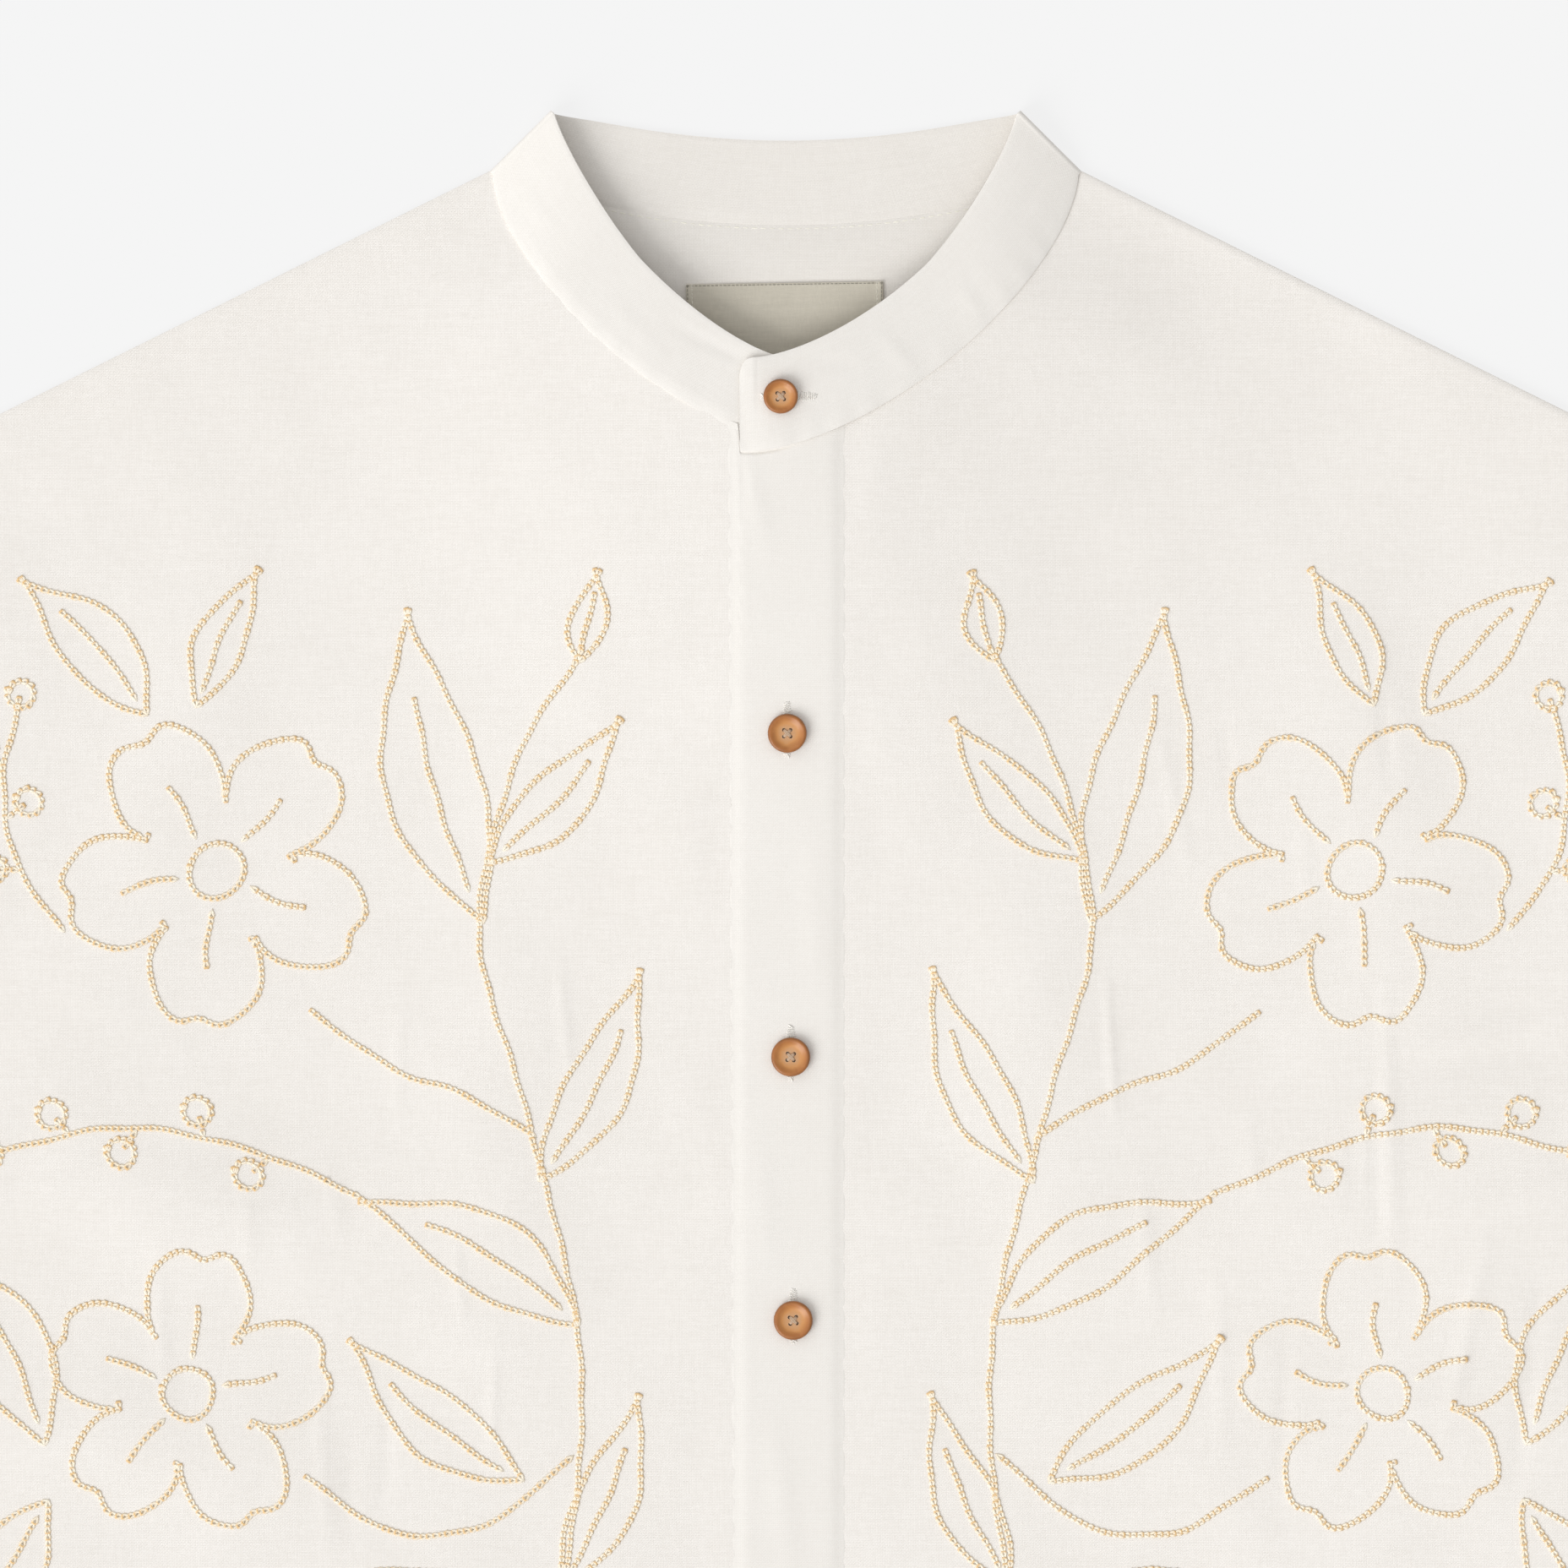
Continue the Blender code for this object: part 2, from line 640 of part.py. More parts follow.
def make_button(name, size, x, y, bottom, material):
    points, faces = turned_solid(button_profile(size / 2), BUTTON_SIDES)
    button = add_piece(name, points, faces, material, math.radians(35))
    cutter = add_piece(name + "_holes", *hole_cutter(), material)
    cutter.hide_render = True
    cutter.display_type = "WIRE"
    cut = button.modifiers.new("thread holes", "BOOLEAN")
    cut.operation = "DIFFERENCE"
    cut.solver = "EXACT"
    cut.object = cutter
    button.location = (x, y, bottom)
    cutter.location = button.location
    return button


def cloth_top(x, y):
    """Height of the top face of the placket, or above it of the lapped band's front end."""
    if y < SEAM_LOW_Y:
        return front_height(x, y) + CLOTH + SEAM_GAP + PLACKET_CLOTH
    fraction = (y - SEAM_LOW_Y) / (BAND_TOP_LOW_Y - SEAM_LOW_Y)
    seam_z = front_rest(x, SEAM_LOW_Y) + SEAM_GAP
    top_z = 2 * TOP_FOLD + BAND_TOP_RISE
    return seam_z + (top_z - seam_z) * fraction + BAND_CLOTH + LAP_STEP


def button_rest(size, x, y):
    """Height of the highest cloth under a button's rim."""
    rim = [2 * math.pi * step / 12 for step in range(12)]
    return max(cloth_top(x + size / 2 * math.cos(angle), y + size / 2 * math.sin(angle)) for angle in rim)


def build():
    clear_scene()
    linen = finish("linen", (0.90, 0.88, 0.83), 0.85)
    dense_linen = finish("dense_linen", (0.93, 0.91, 0.87), 0.85)
    label_weave = finish("label_weave", (0.62, 0.58, 0.48), 0.8)
    horn = finish("horn", (0.62, 0.27, 0.09), 0.3)
    make_back(linen)
    make_front("front_left", -1, linen)
    make_front("front_right", 1, linen)
    make_placket(dense_linen)
    make_collar_band(dense_linen)
    make_sleeve("sleeve_left", -1, linen)
    make_sleeve("sleeve_right", 1, linen)
    make_label(label_weave)
    for name, size, x, below_top in BUTTONS:
        y = TOP_Y - below_top
        make_button(name, size, x, y, button_rest(size, x, y) + LAY_GAP, horn)


build()
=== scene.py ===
"""A band-collar linen shirt laid flat: its cloth, seams, buttons and embroidery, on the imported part."""

import math

import bpy
import numpy as np
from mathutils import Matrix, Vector


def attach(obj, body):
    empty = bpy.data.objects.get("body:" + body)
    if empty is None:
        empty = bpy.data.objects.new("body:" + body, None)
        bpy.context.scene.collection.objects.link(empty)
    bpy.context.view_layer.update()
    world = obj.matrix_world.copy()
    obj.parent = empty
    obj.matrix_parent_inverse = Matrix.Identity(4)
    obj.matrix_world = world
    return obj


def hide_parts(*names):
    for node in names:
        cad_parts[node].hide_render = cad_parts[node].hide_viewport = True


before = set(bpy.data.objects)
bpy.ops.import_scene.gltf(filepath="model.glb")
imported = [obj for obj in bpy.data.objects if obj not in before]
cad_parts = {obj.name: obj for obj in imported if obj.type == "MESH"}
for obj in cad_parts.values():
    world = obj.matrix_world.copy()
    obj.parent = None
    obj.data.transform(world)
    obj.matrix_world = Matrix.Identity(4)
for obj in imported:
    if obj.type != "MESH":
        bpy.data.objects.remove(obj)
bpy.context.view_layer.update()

# Back panel. One light open-weave linen panel from hem to shoulders, with the back neck cut out of it.
# It lies flat and carries everything else.
CLOTH = 0.0012
TOP_Y, HEM_Y = 0.380, -0.380
BODY_HALF, HEM_HALF = 0.290, 0.287
SHOULDER_X, SHOULDER_SLOPE = 0.272, 0.496
UNDERARM_DROP, ARMHOLE_BOW = 0.232, 0.009
NECK_X, NECK_Y = 0.0945, 0.3608
BACK_SEAM_SAG, BACK_FOLD_REACH = 0.0172, 0.14
BAND_CLOTH, SEAM_FOLD = 0.0015, 0.00095


def ease(value):
    value = np.clip(value, 0.0, 1.0)
    return value * value * (3 - 2 * value)


def shoulder_y(x):
    return NECK_Y - SHOULDER_SLOPE * (np.abs(x) - NECK_X)


def armhole_x(fraction):
    return SHOULDER_X + (BODY_HALF - SHOULDER_X) * fraction - ARMHOLE_BOW * np.sin(np.pi * fraction)


def side_line(side):
    """Side seam and armhole of a panel, from the hem up to the shoulder point."""
    down = np.linspace(1, 0, 60)
    armhole = np.column_stack([side * armhole_x(down), shoulder_y(SHOULDER_X) - UNDERARM_DROP * down])
    return np.concatenate([[(side * HEM_HALF, HEM_Y)], armhole])


def draw_in(x, y, depth, near_fold):
    """Moves a point in from the collar fold's outer face to where its curve starts."""
    inset = (depth + BAND_CLOTH / 2) * near_fold / math.sqrt(2)
    return x - inset, y - inset


def back_seam(fraction):
    """Collar seam on the back, from the middle at 0 to the fold at 1."""
    x = NECK_X * fraction
    y = NECK_Y - BACK_SEAM_SAG * (1 - fraction**2.1)
    return draw_in(x, y, SEAM_FOLD, np.exp(-(((1 - fraction) / BACK_FOLD_REACH) ** 2)))


def travelled(line):
    steps = np.linalg.norm(np.diff(line, axis=0), axis=1)
    return np.concatenate([[0], np.cumsum(steps)]) / steps.sum()


def along(line, fractions):
    """Points of a line at fractions of its length."""
    run = travelled(line)
    return np.column_stack([np.interp(fractions, run, line[:, axis]) for axis in range(line.shape[1])])


def panel_plan(bottom, top, left, right, across, up):
    """Plan grid inside four edge lines. across and up are fractions of the edges' lengths."""
    bottom, top = along(bottom, across)[None], along(top, across)[None]
    left, right = along(left, up)[:, None], along(right, up)[:, None]
    u, v = across[None, :, None], up[:, None, None]
    corners = (
        (1 - u) * (1 - v) * bottom[:, :1]
        + u * (1 - v) * bottom[:, -1:]
        + (1 - u) * v * top[:, :1]
        + u * v * top[:, -1:]
    )
    return (1 - v) * bottom + v * top + (1 - u) * left + u * right - corners


def spread(stops, counts):
    """Rising fractions that pass through every stop, with that many steps between."""
    parts = [np.linspace(a, b, n, endpoint=False) for a, b, n in zip(stops, stops[1:], counts)]
    return np.concatenate([*parts, [stops[-1]]])


def new_object(name, data):
    made = bpy.data.objects.new(name, data)
    bpy.context.scene.collection.objects.link(made)
    return made


def cloth_piece(name, points, faces, threads):
    """A mesh of cloth. threads says where each point lies in the woven cloth."""
    mesh = bpy.data.meshes.new(name)
    mesh.from_pydata(points.tolist(), [], faces.tolist())
    layer = mesh.uv_layers.new(name="threads")
    layer.data.foreach_set("uv", threads[faces.ravel()].astype(np.float32).ravel())
    return new_object(name, mesh)


def settled(piece, sharp=math.radians(55)):
    """The piece with its modifiers worked into its mesh, shaded smooth between sharp edges."""
    ready = piece.evaluated_get(bpy.context.evaluated_depsgraph_get())
    mesh = bpy.data.meshes.new_from_object(ready)
    piece.modifiers.clear()
    piece.data = mesh
    mesh.shade_smooth()
    if sharp:
        mesh.set_sharp_from_angle(angle=sharp)
    return piece


def cloth_wall(name, lower, upper, threads, round_edge, shade_inside=False):
    """A closed wall of cloth between two grids. If asked, its upper grid gets a second material, a darker copy of
    the cloth that paints the shade inside the shirt.
    """
    index = np.arange(lower.shape[0] * lower.shape[1]).reshape(lower.shape[:2])
    cells = np.stack([index[:-1, :-1], index[:-1, 1:], index[1:, 1:], index[1:, :-1]], axis=-1).reshape(-1, 4)
    rim = np.concatenate([index[0, :-1], index[:-1, -1], index[-1, :0:-1], index[:0:-1, 0]])
    after = np.roll(rim, -1)
    edge = np.stack([rim, after, after + index.size, rim + index.size], axis=-1)
    faces = np.concatenate([cells + index.size, cells[:, ::-1], edge])
    points = np.concatenate([lower.reshape(-1, 3), upper.reshape(-1, 3)])
    piece = cloth_piece(name, points, faces, np.tile(threads.reshape(-1, 2), (2, 1)))
    if shade_inside:
        second = np.arange(len(faces)) < len(cells)
        piece.data.polygons.foreach_set("material_index", second.astype(np.int32))
    soften = piece.modifiers.new("rounded edges", "BEVEL")
    soften.limit_method = "ANGLE"
    soften.angle_limit = math.radians(50)
    soften.width = round_edge
    soften.segments = 2
    return settled(piece)


def add_node(tree, kind, given=(), **settings):
    """A node. given holds a number, or another node's socket, for each input."""
    node = tree.nodes.new(kind)
    for name, value in settings.items():
        setattr(node, name, value)
    for socket, value in dict(given).items():
        if isinstance(value, bpy.types.NodeSocket):
            tree.links.new(value, node.inputs[socket])
        else:
            node.inputs[socket].default_value = value
    return node


def maths(tree, operation, *given, kind="ShaderNodeMath", **settings):
    return add_node(tree, kind, enumerate(given), operation=operation, **settings).outputs[0]


def scaled(tree, vector, factor):
    return add_node(tree, "ShaderNodeVectorMath", {0: vector, "Scale": factor}, operation="SCALE").outputs[0]


def mixed(tree, factor, a, b, data_type="FLOAT"):
    given = {"Factor": factor, "A": a, "B": b}
    return add_node(tree, "ShaderNodeMix", given, data_type=data_type).outputs["Result"]


def noise(tree, place, scale, detail, roughness=0.5, distortion=0.0, space="2D"):
    given = {"Scale": scale, "Detail": detail, "Roughness": roughness, "Distortion": distortion, "Vector": place}
    return add_node(tree, "ShaderNodeTexNoise", given, noise_dimensions=space).outputs["Fac"]


def new_group(name, numbers, results):
    """A shader group that takes a place in the cloth and some numbers, and gives numbers."""
    group = bpy.data.node_groups.new(name, "ShaderNodeTree")
    group.interface.new_socket("Place", in_out="INPUT", socket_type="NodeSocketVector")
    for label, value in numbers.items():
        socket = group.interface.new_socket(label, in_out="INPUT", socket_type="NodeSocketFloat")
        socket.default_value = value
    for label in results:
        group.interface.new_socket(label, in_out="OUTPUT", socket_type="NodeSocketFloat")
    return group, group.nodes.new("NodeGroupInput").outputs, group.nodes.new("NodeGroupOutput").inputs


SLUB_THREADS, SLUB_SHIFT = 7.0, 3.7
DRIFT_SCALE, WARP_SHARE, WARP_BASE = 75.0, 0.5, 0.2


def weave_group():
    """Plain weave: how light each spot is, how high its thread stands, and the gaps between threads."""
    numbers = {"Threads per metre": 1900.0, "Wander": 0.35}
    group, given, result = new_group("plain_weave", numbers, ("Tone", "Height", "Gap"))
    counted = scaled(group, given["Place"], given["Threads per metre"])
    drift = maths(group, "MULTIPLY", noise(group, given["Place"], DRIFT_SCALE, 0.0), given["Wander"])
    placed = maths(group, "ADD", counted, drift, kind="ShaderNodeVectorMath")
    x, y, _ = add_node(group, "ShaderNodeSeparateXYZ", {0: placed}).outputs
    profiles, threads, tones = [], [], []
    for own, other in ((x, y), (y, x)):
        wave = maths(group, "SINE", maths(group, "MULTIPLY", own, math.pi))
        profiles.append(maths(group, "ABSOLUTE", wave))
        thread = maths(group, "FLOOR", own)
        threads.append(thread)
        shifted = maths(group, "MULTIPLY_ADD", thread, SLUB_SHIFT, other)
        stretch = maths(group, "FLOOR", maths(group, "DIVIDE", shifted, SLUB_THREADS))
        spot = add_node(group, "ShaderNodeCombineXYZ", {"X": thread, "Y": stretch, "Z": 0.0}).outputs[0]
        chance = add_node(group, "ShaderNodeTexWhiteNoise", {"Vector": spot}, noise_dimensions="2D")
        tones.append(chance.outputs["Value"])
    over = maths(group, "FLOORED_MODULO", maths(group, "ADD", *threads), 2.0)
    low_warp = maths(group, "MULTIPLY_ADD", profiles[0], WARP_SHARE, WARP_BASE)
    bare = [maths(group, "SUBTRACT", 1.0, profile) for profile in profiles]
    group.links.new(mixed(group, over, *tones), result["Tone"])
    group.links.new(mixed(group, over, low_warp, profiles[1]), result["Height"])
    group.links.new(maths(group, "MULTIPLY", *bare), result["Gap"])
    return group


def slub_group():
    """Thick places in the yarn: thin streaks along one thread direction, and soft clouds of wear."""
    numbers = {"Streaks across": 14.0, "Streaks along": 700.0}
    group, given, result = new_group("slubs", numbers, ("Streak", "Cloud"))
    sizes = {"X": given["Streaks across"], "Y": given["Streaks along"]}
    stretch = add_node(group, "ShaderNodeCombineXYZ", sizes).outputs[0]
    drawn_out = maths(group, "MULTIPLY", given["Place"], stretch, kind="ShaderNodeVectorMath")
    group.links.new(noise(group, drawn_out, 1.0, 1.0, 0.6), result["Streak"])
    group.links.new(noise(group, given["Place"], 30.0, 2.0, 0.6), result["Cloud"])
    return group


plain_weave = weave_group()
slubs = slub_group()


def new_finish(name, roughness, specular, sheen):
    """A material, its tree and its shader's inputs."""
    material = bpy.data.materials.new(name)
    material.use_nodes = True
    tree = material.node_tree
    shader = tree.nodes["Principled BSDF"].inputs
    shader["Roughness"].default_value = roughness
    shader["Specular IOR Level"].default_value = specular
    shader["Sheen Weight"].default_value = sheen
    return material, tree, shader


def add_bump(tree, shader, height, strength, distance):
    bump = add_node(tree, "ShaderNodeBump", {"Strength": strength, "Distance": distance, "Height": height})
    tree.links.new(bump.outputs[0], shader["Normal"])


def woven(name, light, dark, threads, depth, streaks, clouds, gaps, sheen=0.08):
    """A matte woven cloth. streaks and clouds say how much each shows, gaps how dark the painted shade between
    threads is, depth how high its weave is.
    """
    material, tree, shader = new_finish(name, roughness=0.9, specular=0.2, sheen=sheen)
    shader["Sheen Roughness"].default_value = 0.5
    place = add_node(tree, "ShaderNodeUVMap", uv_map="threads").outputs[0]
    counted = {"Place": place, "Threads per metre": threads}
    weave = add_node(tree, "ShaderNodeGroup", counted, node_tree=plain_weave).outputs
    yarn = add_node(tree, "ShaderNodeGroup", {"Place": place}, node_tree=slubs).outputs
    tone = mixed(tree, streaks, weave["Tone"], yarn["Streak"])
    tone = mixed(tree, clouds, tone, yarn["Cloud"])
    colour = mixed(tree, tone, (*dark, 1), (*light, 1), "RGBA")
    # Painted shade: the gaps between threads are mixed towards a deeper colour.
    shade = (dark[0] * 0.6, dark[1] * 0.58, dark[2] * 0.55, 1)
    gap_shade_share = maths(tree, "MULTIPLY", weave["Gap"], gaps)
    tree.links.new(mixed(tree, gap_shade_share, colour, shade, "RGBA"), shader["Base Color"])
    add_bump(tree, shader, weave["Height"], strength=0.5, distance=depth)
    return material


LINEN_LIGHT, LINEN_DARK = (0.965, 0.930, 0.887), (0.863, 0.823, 0.771)
# The inside colours are the linen made darker: painted shade for the inside of the shirt, seen in the neck
# opening.
SHADED_INNER_LIGHT, SHADED_INNER_DARK = (0.898, 0.865, 0.820), (0.805, 0.768, 0.716)
linen = woven("linen", LINEN_LIGHT, LINEN_DARK, threads=1900, depth=0.00012, streaks=0.35, clouds=0.30, gaps=0.30)
inside_weave = {"threads": 1900, "depth": 0.00008, "streaks": 0.35, "clouds": 0.40, "gaps": 0.15}
linen_inside_shaded = woven("linen_inside_shaded", SHADED_INNER_LIGHT, SHADED_INNER_DARK, **inside_weave)


def place_on(piece, material, slot, *nodes):
    piece.data.materials.append(material)
    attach(piece, "root")
    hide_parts(*nodes)
    return piece


NECK_OVERLAP, OVERLAP_TO, OVERLAP_FADE = 0.0009, 0.080, 0.012
neck_half = np.column_stack(back_seam(np.sin(np.linspace(0, 1, 60) * np.pi / 2)))
neck_half[:, 1] += NECK_OVERLAP * (1 - ease((neck_half[:, 0] - OVERLAP_TO) / OVERLAP_FADE))
shoulder_half = np.array([(NECK_X, NECK_Y), (SHOULDER_X, shoulder_y(SHOULDER_X))])
half_top = np.concatenate([neck_half, shoulder_half])
back_top = np.concatenate([half_top[:0:-1] * (-1, 1), half_top])
neck_share = travelled(back_top)[len(shoulder_half) - 1]
back_across = spread([0, neck_share, 1 - neck_share, 1], [16, 56, 16])
underarm_share = travelled(side_line(1))[1]
back_up = spread([0, underarm_share, 1], [24, 16])
back_hem = np.array([(-HEM_HALF, HEM_Y), (HEM_HALF, HEM_Y)])
back_plan = panel_plan(back_hem, back_top, side_line(-1), side_line(1), back_across, back_up)
back_low = np.dstack([back_plan, np.zeros(back_plan.shape[:2])])
back = cloth_wall("back_cloth", back_low, back_low + (0, 0, CLOTH), back_plan, 0.0003, shade_inside=True)
place_on(back, linen, "linen", "back")
# The back's upper face, seen only inside the neck opening, takes the darker linen as painted shade.
back.data.materials.append(linen_inside_shaded)

# Neck label. A small woven tape label, folded in at its ends and sewn inside the back below the collar
# seam, with a fine stitch all round it and down its folded ends.
LABEL_WIDE, LABEL_TALL, LABEL_CLOTH = 0.0630, 0.0300, 0.0008
LABEL_TOP_Y, LABEL_X, LABEL_TILT = 0.3250, -0.0004, math.radians(0.9)
LABEL_FOLD, LABEL_GAP, LABEL_DOUBLED, LABEL_SWELL = 0.0019, 0.0001, 0.00018, 0.00012
LABEL_LIGHT, LABEL_DARK = (0.735, 0.690, 0.587), (0.560, 0.520, 0.432)


def label_point(across, down):
    """A point of the label in plan, from its top left corner."""
    x, y = across - LABEL_WIDE / 2, -down
    return (
        LABEL_X + x * math.cos(LABEL_TILT) - y * math.sin(LABEL_TILT),
        LABEL_TOP_Y + x * math.sin(LABEL_TILT) + y * math.cos(LABEL_TILT),
    )


label_end = LABEL_FOLD * np.array([0, 0.8, 1])
label_middle = np.linspace(0.004, LABEL_WIDE - 0.004, 28)
label_across = np.concatenate([label_end, label_middle, LABEL_WIDE - label_end[::-1]])
label_down = np.linspace(LABEL_TALL, 0, 16)
label_plan = np.array([[label_point(a, d) for a in label_across] for d in label_down])
turned_in = (label_across < LABEL_FOLD) | (label_across > LABEL_WIDE - LABEL_FOLD)
swell = LABEL_SWELL * np.sin(label_plan[..., 0] * 260) * np.sin(label_plan[..., 1] * 310)
label_low = np.dstack([label_plan, np.full(label_plan.shape[:2], CLOTH + LABEL_GAP)])
label_high = CLOTH + LABEL_GAP + LABEL_CLOTH + LABEL_DOUBLED * turned_in[None] + swell
label_threads = np.dstack(np.meshgrid(label_across, label_down))
label = cloth_wall("label_tape", label_low, np.dstack([label_plan, label_high]), label_threads, 0.00018)
tape_weave = {"threads": 3600, "depth": 0.00006, "streaks": 0.55, "clouds": 0.25, "gaps": 0.25, "sheen": 0.15}
label_weave = woven("label_weave", LABEL_LIGHT, LABEL_DARK, **tape_weave)
place_on(label, label_weave, "label_weave", "neck_label")

# Fronts. Two linen panels, joined to the back at shoulders and sides, that meet under the placket. The
# collar holds them up at the neck, and soft folds and creases from wear run through them.
FRONT_REST = CLOTH + 0.0003
SEAM_LOW_Y, SEAM_PAST_MIDDLE, SEAM_ROUNDNESS = 0.2710, 0.0100, 1.52
FRONT_FOLD_REACH = 0.30
NECK_RISE, RISE_WIDTH, RISE_LENGTH, RISE_FROM_SHOULDER = 0.0110, 0.104, 0.130, 0.050
PLACKET_LEFT, PLACKET_RIGHT, PLACKET_HEM_LEFT = -0.0187, 0.0189, -0.0157
FRONT_EDGE, EDGES_APART = 0.0125, 0.0004
TUCK, TUCK_FADE = 0.0016, 0.25
RIM_DROP, RIM_REACH, EDGE_SINK, SINK_REACH, THINNEST = 0.0004, 0.0016, 0.00028, 0.004, 0.0006
FOLD_FADE = 0.022
FRONT_FOLDS = (
    # from x, from y, to x, to y, half width, height
    (0.255, 0.060, 0.120, 0.010, 0.020, 0.0020),
    (0.262, -0.010, 0.150, -0.070, 0.022, 0.0017),
    (0.170, 0.235, 0.205, 0.110, 0.022, 0.0014),
    (0.075, 0.140, 0.090, -0.020, 0.022, 0.0012),
    (0.110, -0.120, 0.095, -0.300, 0.024, 0.0018),
    (0.215, -0.150, 0.225, -0.320, 0.024, 0.0016),
    (-0.250, 0.045, -0.135, 0.020, 0.021, 0.0018),
    (-0.264, -0.030, -0.160, -0.060, 0.021, 0.0016),
    (-0.185, 0.240, -0.200, 0.120, 0.023, 0.0013),
    (-0.080, 0.150, -0.100, 0.000, 0.022, 0.0013),
    (-0.095, -0.100, -0.110, -0.280, 0.023, 0.0016),
    (-0.205, -0.180, -0.195, -0.330, 0.024, 0.0018),
)
CREASES = (
    # narrow creases: from x, from y, to x, to y, half width, height
    (0.1190, 0.1818, 0.1291, 0.1386, 0.0018, 0.00036),
    (0.1404, 0.1859, 0.1418, 0.1600, 0.0017, -0.00031),
    (0.1655, 0.1505, 0.1663, 0.1300, 0.0018, 0.00031),
    (0.1909, 0.1960, 0.1930, 0.1660, 0.0018, -0.00042),
    (0.1900, 0.2120, 0.1912, 0.1960, 0.0018, 0.00034),
    (0.1026, 0.1014, 0.1053, 0.0601, 0.0018, 0.00039),
    (0.1917, 0.1008, 0.1944, 0.0104, 0.0020, 0.00045),
    (0.1880, 0.0700, 0.1890, 0.0180, 0.0019, -0.00034),
    (0.1987, 0.0806, 0.2560, 0.0912, 0.0024, 0.00048),
    (0.2030, 0.0730, 0.2520, 0.0800, 0.0022, -0.00036),
    (0.1472, 0.0562, 0.1512, 0.0340, 0.0018, 0.00034),
    (0.1134, 0.0373, 0.1175, -0.0058, 0.0019, 0.00039),
    (0.2052, 0.0266, 0.2560, 0.0400, 0.0026, 0.00050),
    (0.1810, 0.0590, 0.1822, 0.0300, 0.0018, -0.00031),
    (0.2240, 0.0180, 0.2110, -0.0420, 0.0026, 0.00050),
    (0.2420, 0.0060, 0.2330, -0.0600, 0.0028, -0.00048),
    (0.1380, 0.0060, 0.1400, -0.0480, 0.0019, 0.00036),
    (0.1600, -0.0100, 0.1585, -0.0660, 0.0020, -0.00036),
    (-0.1465, 0.0395, -0.1412, 0.0200, 0.0018, 0.00042),
    (-0.1492, -0.0275, -0.1464, -0.0780, 0.0019, 0.00042),
    (-0.1394, -0.0440, -0.1392, -0.0790, 0.0018, -0.00031),
    (-0.1728, 0.0330, -0.1707, 0.0080, 0.0019, 0.00034),
    (-0.1058, 0.0160, -0.1028, -0.0050, 0.0018, 0.00036),
    (-0.0724, 0.1060, -0.0690, 0.0720, 0.0018, 0.00039),
    (-0.1240, 0.0920, -0.1230, 0.0560, 0.0018, 0.00031),
    (-0.1260, -0.0300, -0.1290, -0.0700, 0.0019, -0.00034),
    (-0.0930, -0.0140, -0.0940, -0.0520, 0.0018, 0.00031),
    (-0.2010, 0.0140, -0.1980, -0.0320, 0.0020, 0.00039),
    (-0.2320, 0.0980, -0.1960, 0.0900, 0.0024, 0.00036),
    (-0.2440, 0.0300, -0.2140, 0.0460, 0.0024, 0.00039),
    (-0.2250, 0.2050, -0.1760, 0.2220, 0.0026, 0.00034),
    (0.1800, -0.1100, 0.1760, -0.1900, 0.0024, 0.00050),
    (0.2400, -0.1300, 0.2260, -0.2150, 0.0030, -0.00056),
    (0.1300, -0.2100, 0.1400, -0.3000, 0.0026, 0.00050),
    (0.0700, -0.2400, 0.0740, -0.3300, 0.0022, 0.00042),
    (-0.1500, -0.1100, -0.1560, -0.2000, 0.0024, 0.00050),
    (-0.2400, -0.1500, -0.2320, -0.2400, 0.0028, 0.00053),
    (-0.0700, -0.2000, -0.0660, -0.2900, 0.0024, -0.00048),
    (-0.1780, -0.2600, -0.1700, -0.3400, 0.0026, 0.00050),
)


def ridge_height(x, y, ridges):
    """Height of rounded ridges that die away at their ends."""
    total = np.zeros(np.broadcast(x, y).shape)
    for from_x, from_y, to_x, to_y, half_width, height in ridges:
        run_x, run_y = to_x - from_x, to_y - from_y
        length = math.hypot(run_x, run_y)
        part = ((x - from_x) * run_x + (y - from_y) * run_y) / length**2
        aside = ((x - from_x) * run_y - (y - from_y) * run_x) / length
        end = np.maximum(0, np.maximum(-part, part - 1)) * length
        reach = np.sin(np.pi * np.clip(part, 0.06, 0.94)) ** 0.5
        total += height * reach * np.exp(-(aside**2 + end**2) / half_width**2)
    return total


def front_rest(x, y):
    past_seam = np.maximum(0, SEAM_LOW_Y - y)
    below_shoulder = (shoulder_y(x) - y) / math.hypot(1, SHOULDER_SLOPE)
    rise = np.exp(-((x / RISE_WIDTH) ** 2) - (past_seam / RISE_LENGTH) ** 2)
    return FRONT_REST + NECK_RISE * rise * ease(below_shoulder / RISE_FROM_SHOULDER)


def inside_outline(x, y):
    """How far in from side, armhole, shoulder or hem a point of a front lies."""
    drop = (shoulder_y(SHOULDER_X) - y) / UNDERARM_DROP
    side_x = np.where(drop < 1, armhole_x(np.clip(drop, 0, 1)), HEM_HALF)
    return np.minimum(np.minimum(side_x - np.abs(x), y - HEM_Y), shoulder_y(x) - y)


def front_height(x, y):
    """Underside of the fronts, with their soft folds."""
    inside = np.minimum(inside_outline(x, y), np.abs(x) - PLACKET_RIGHT)
    return front_rest(x, y) + ease(inside / FOLD_FADE) * ridge_height(x, y, FRONT_FOLDS)


def rumple(x, y):
    """Low uneven waves of washed linen, worked out from a few long wavelengths."""
    waves = (
        # along x, along y, start, height
        (61, 23, 0.4, 0.00016),
        (-38, 74, 1.9, 0.00015),
        (104, -41, 4.1, 0.00009),
        (27, -118, 2.7, 0.00008),
        (151, 96, 5.3, 0.00005),
        (-172, 139, 0.9, 0.00004),
    )
    return sum(height * np.sin(a * x + b * y + start) for a, b, start, height in waves)


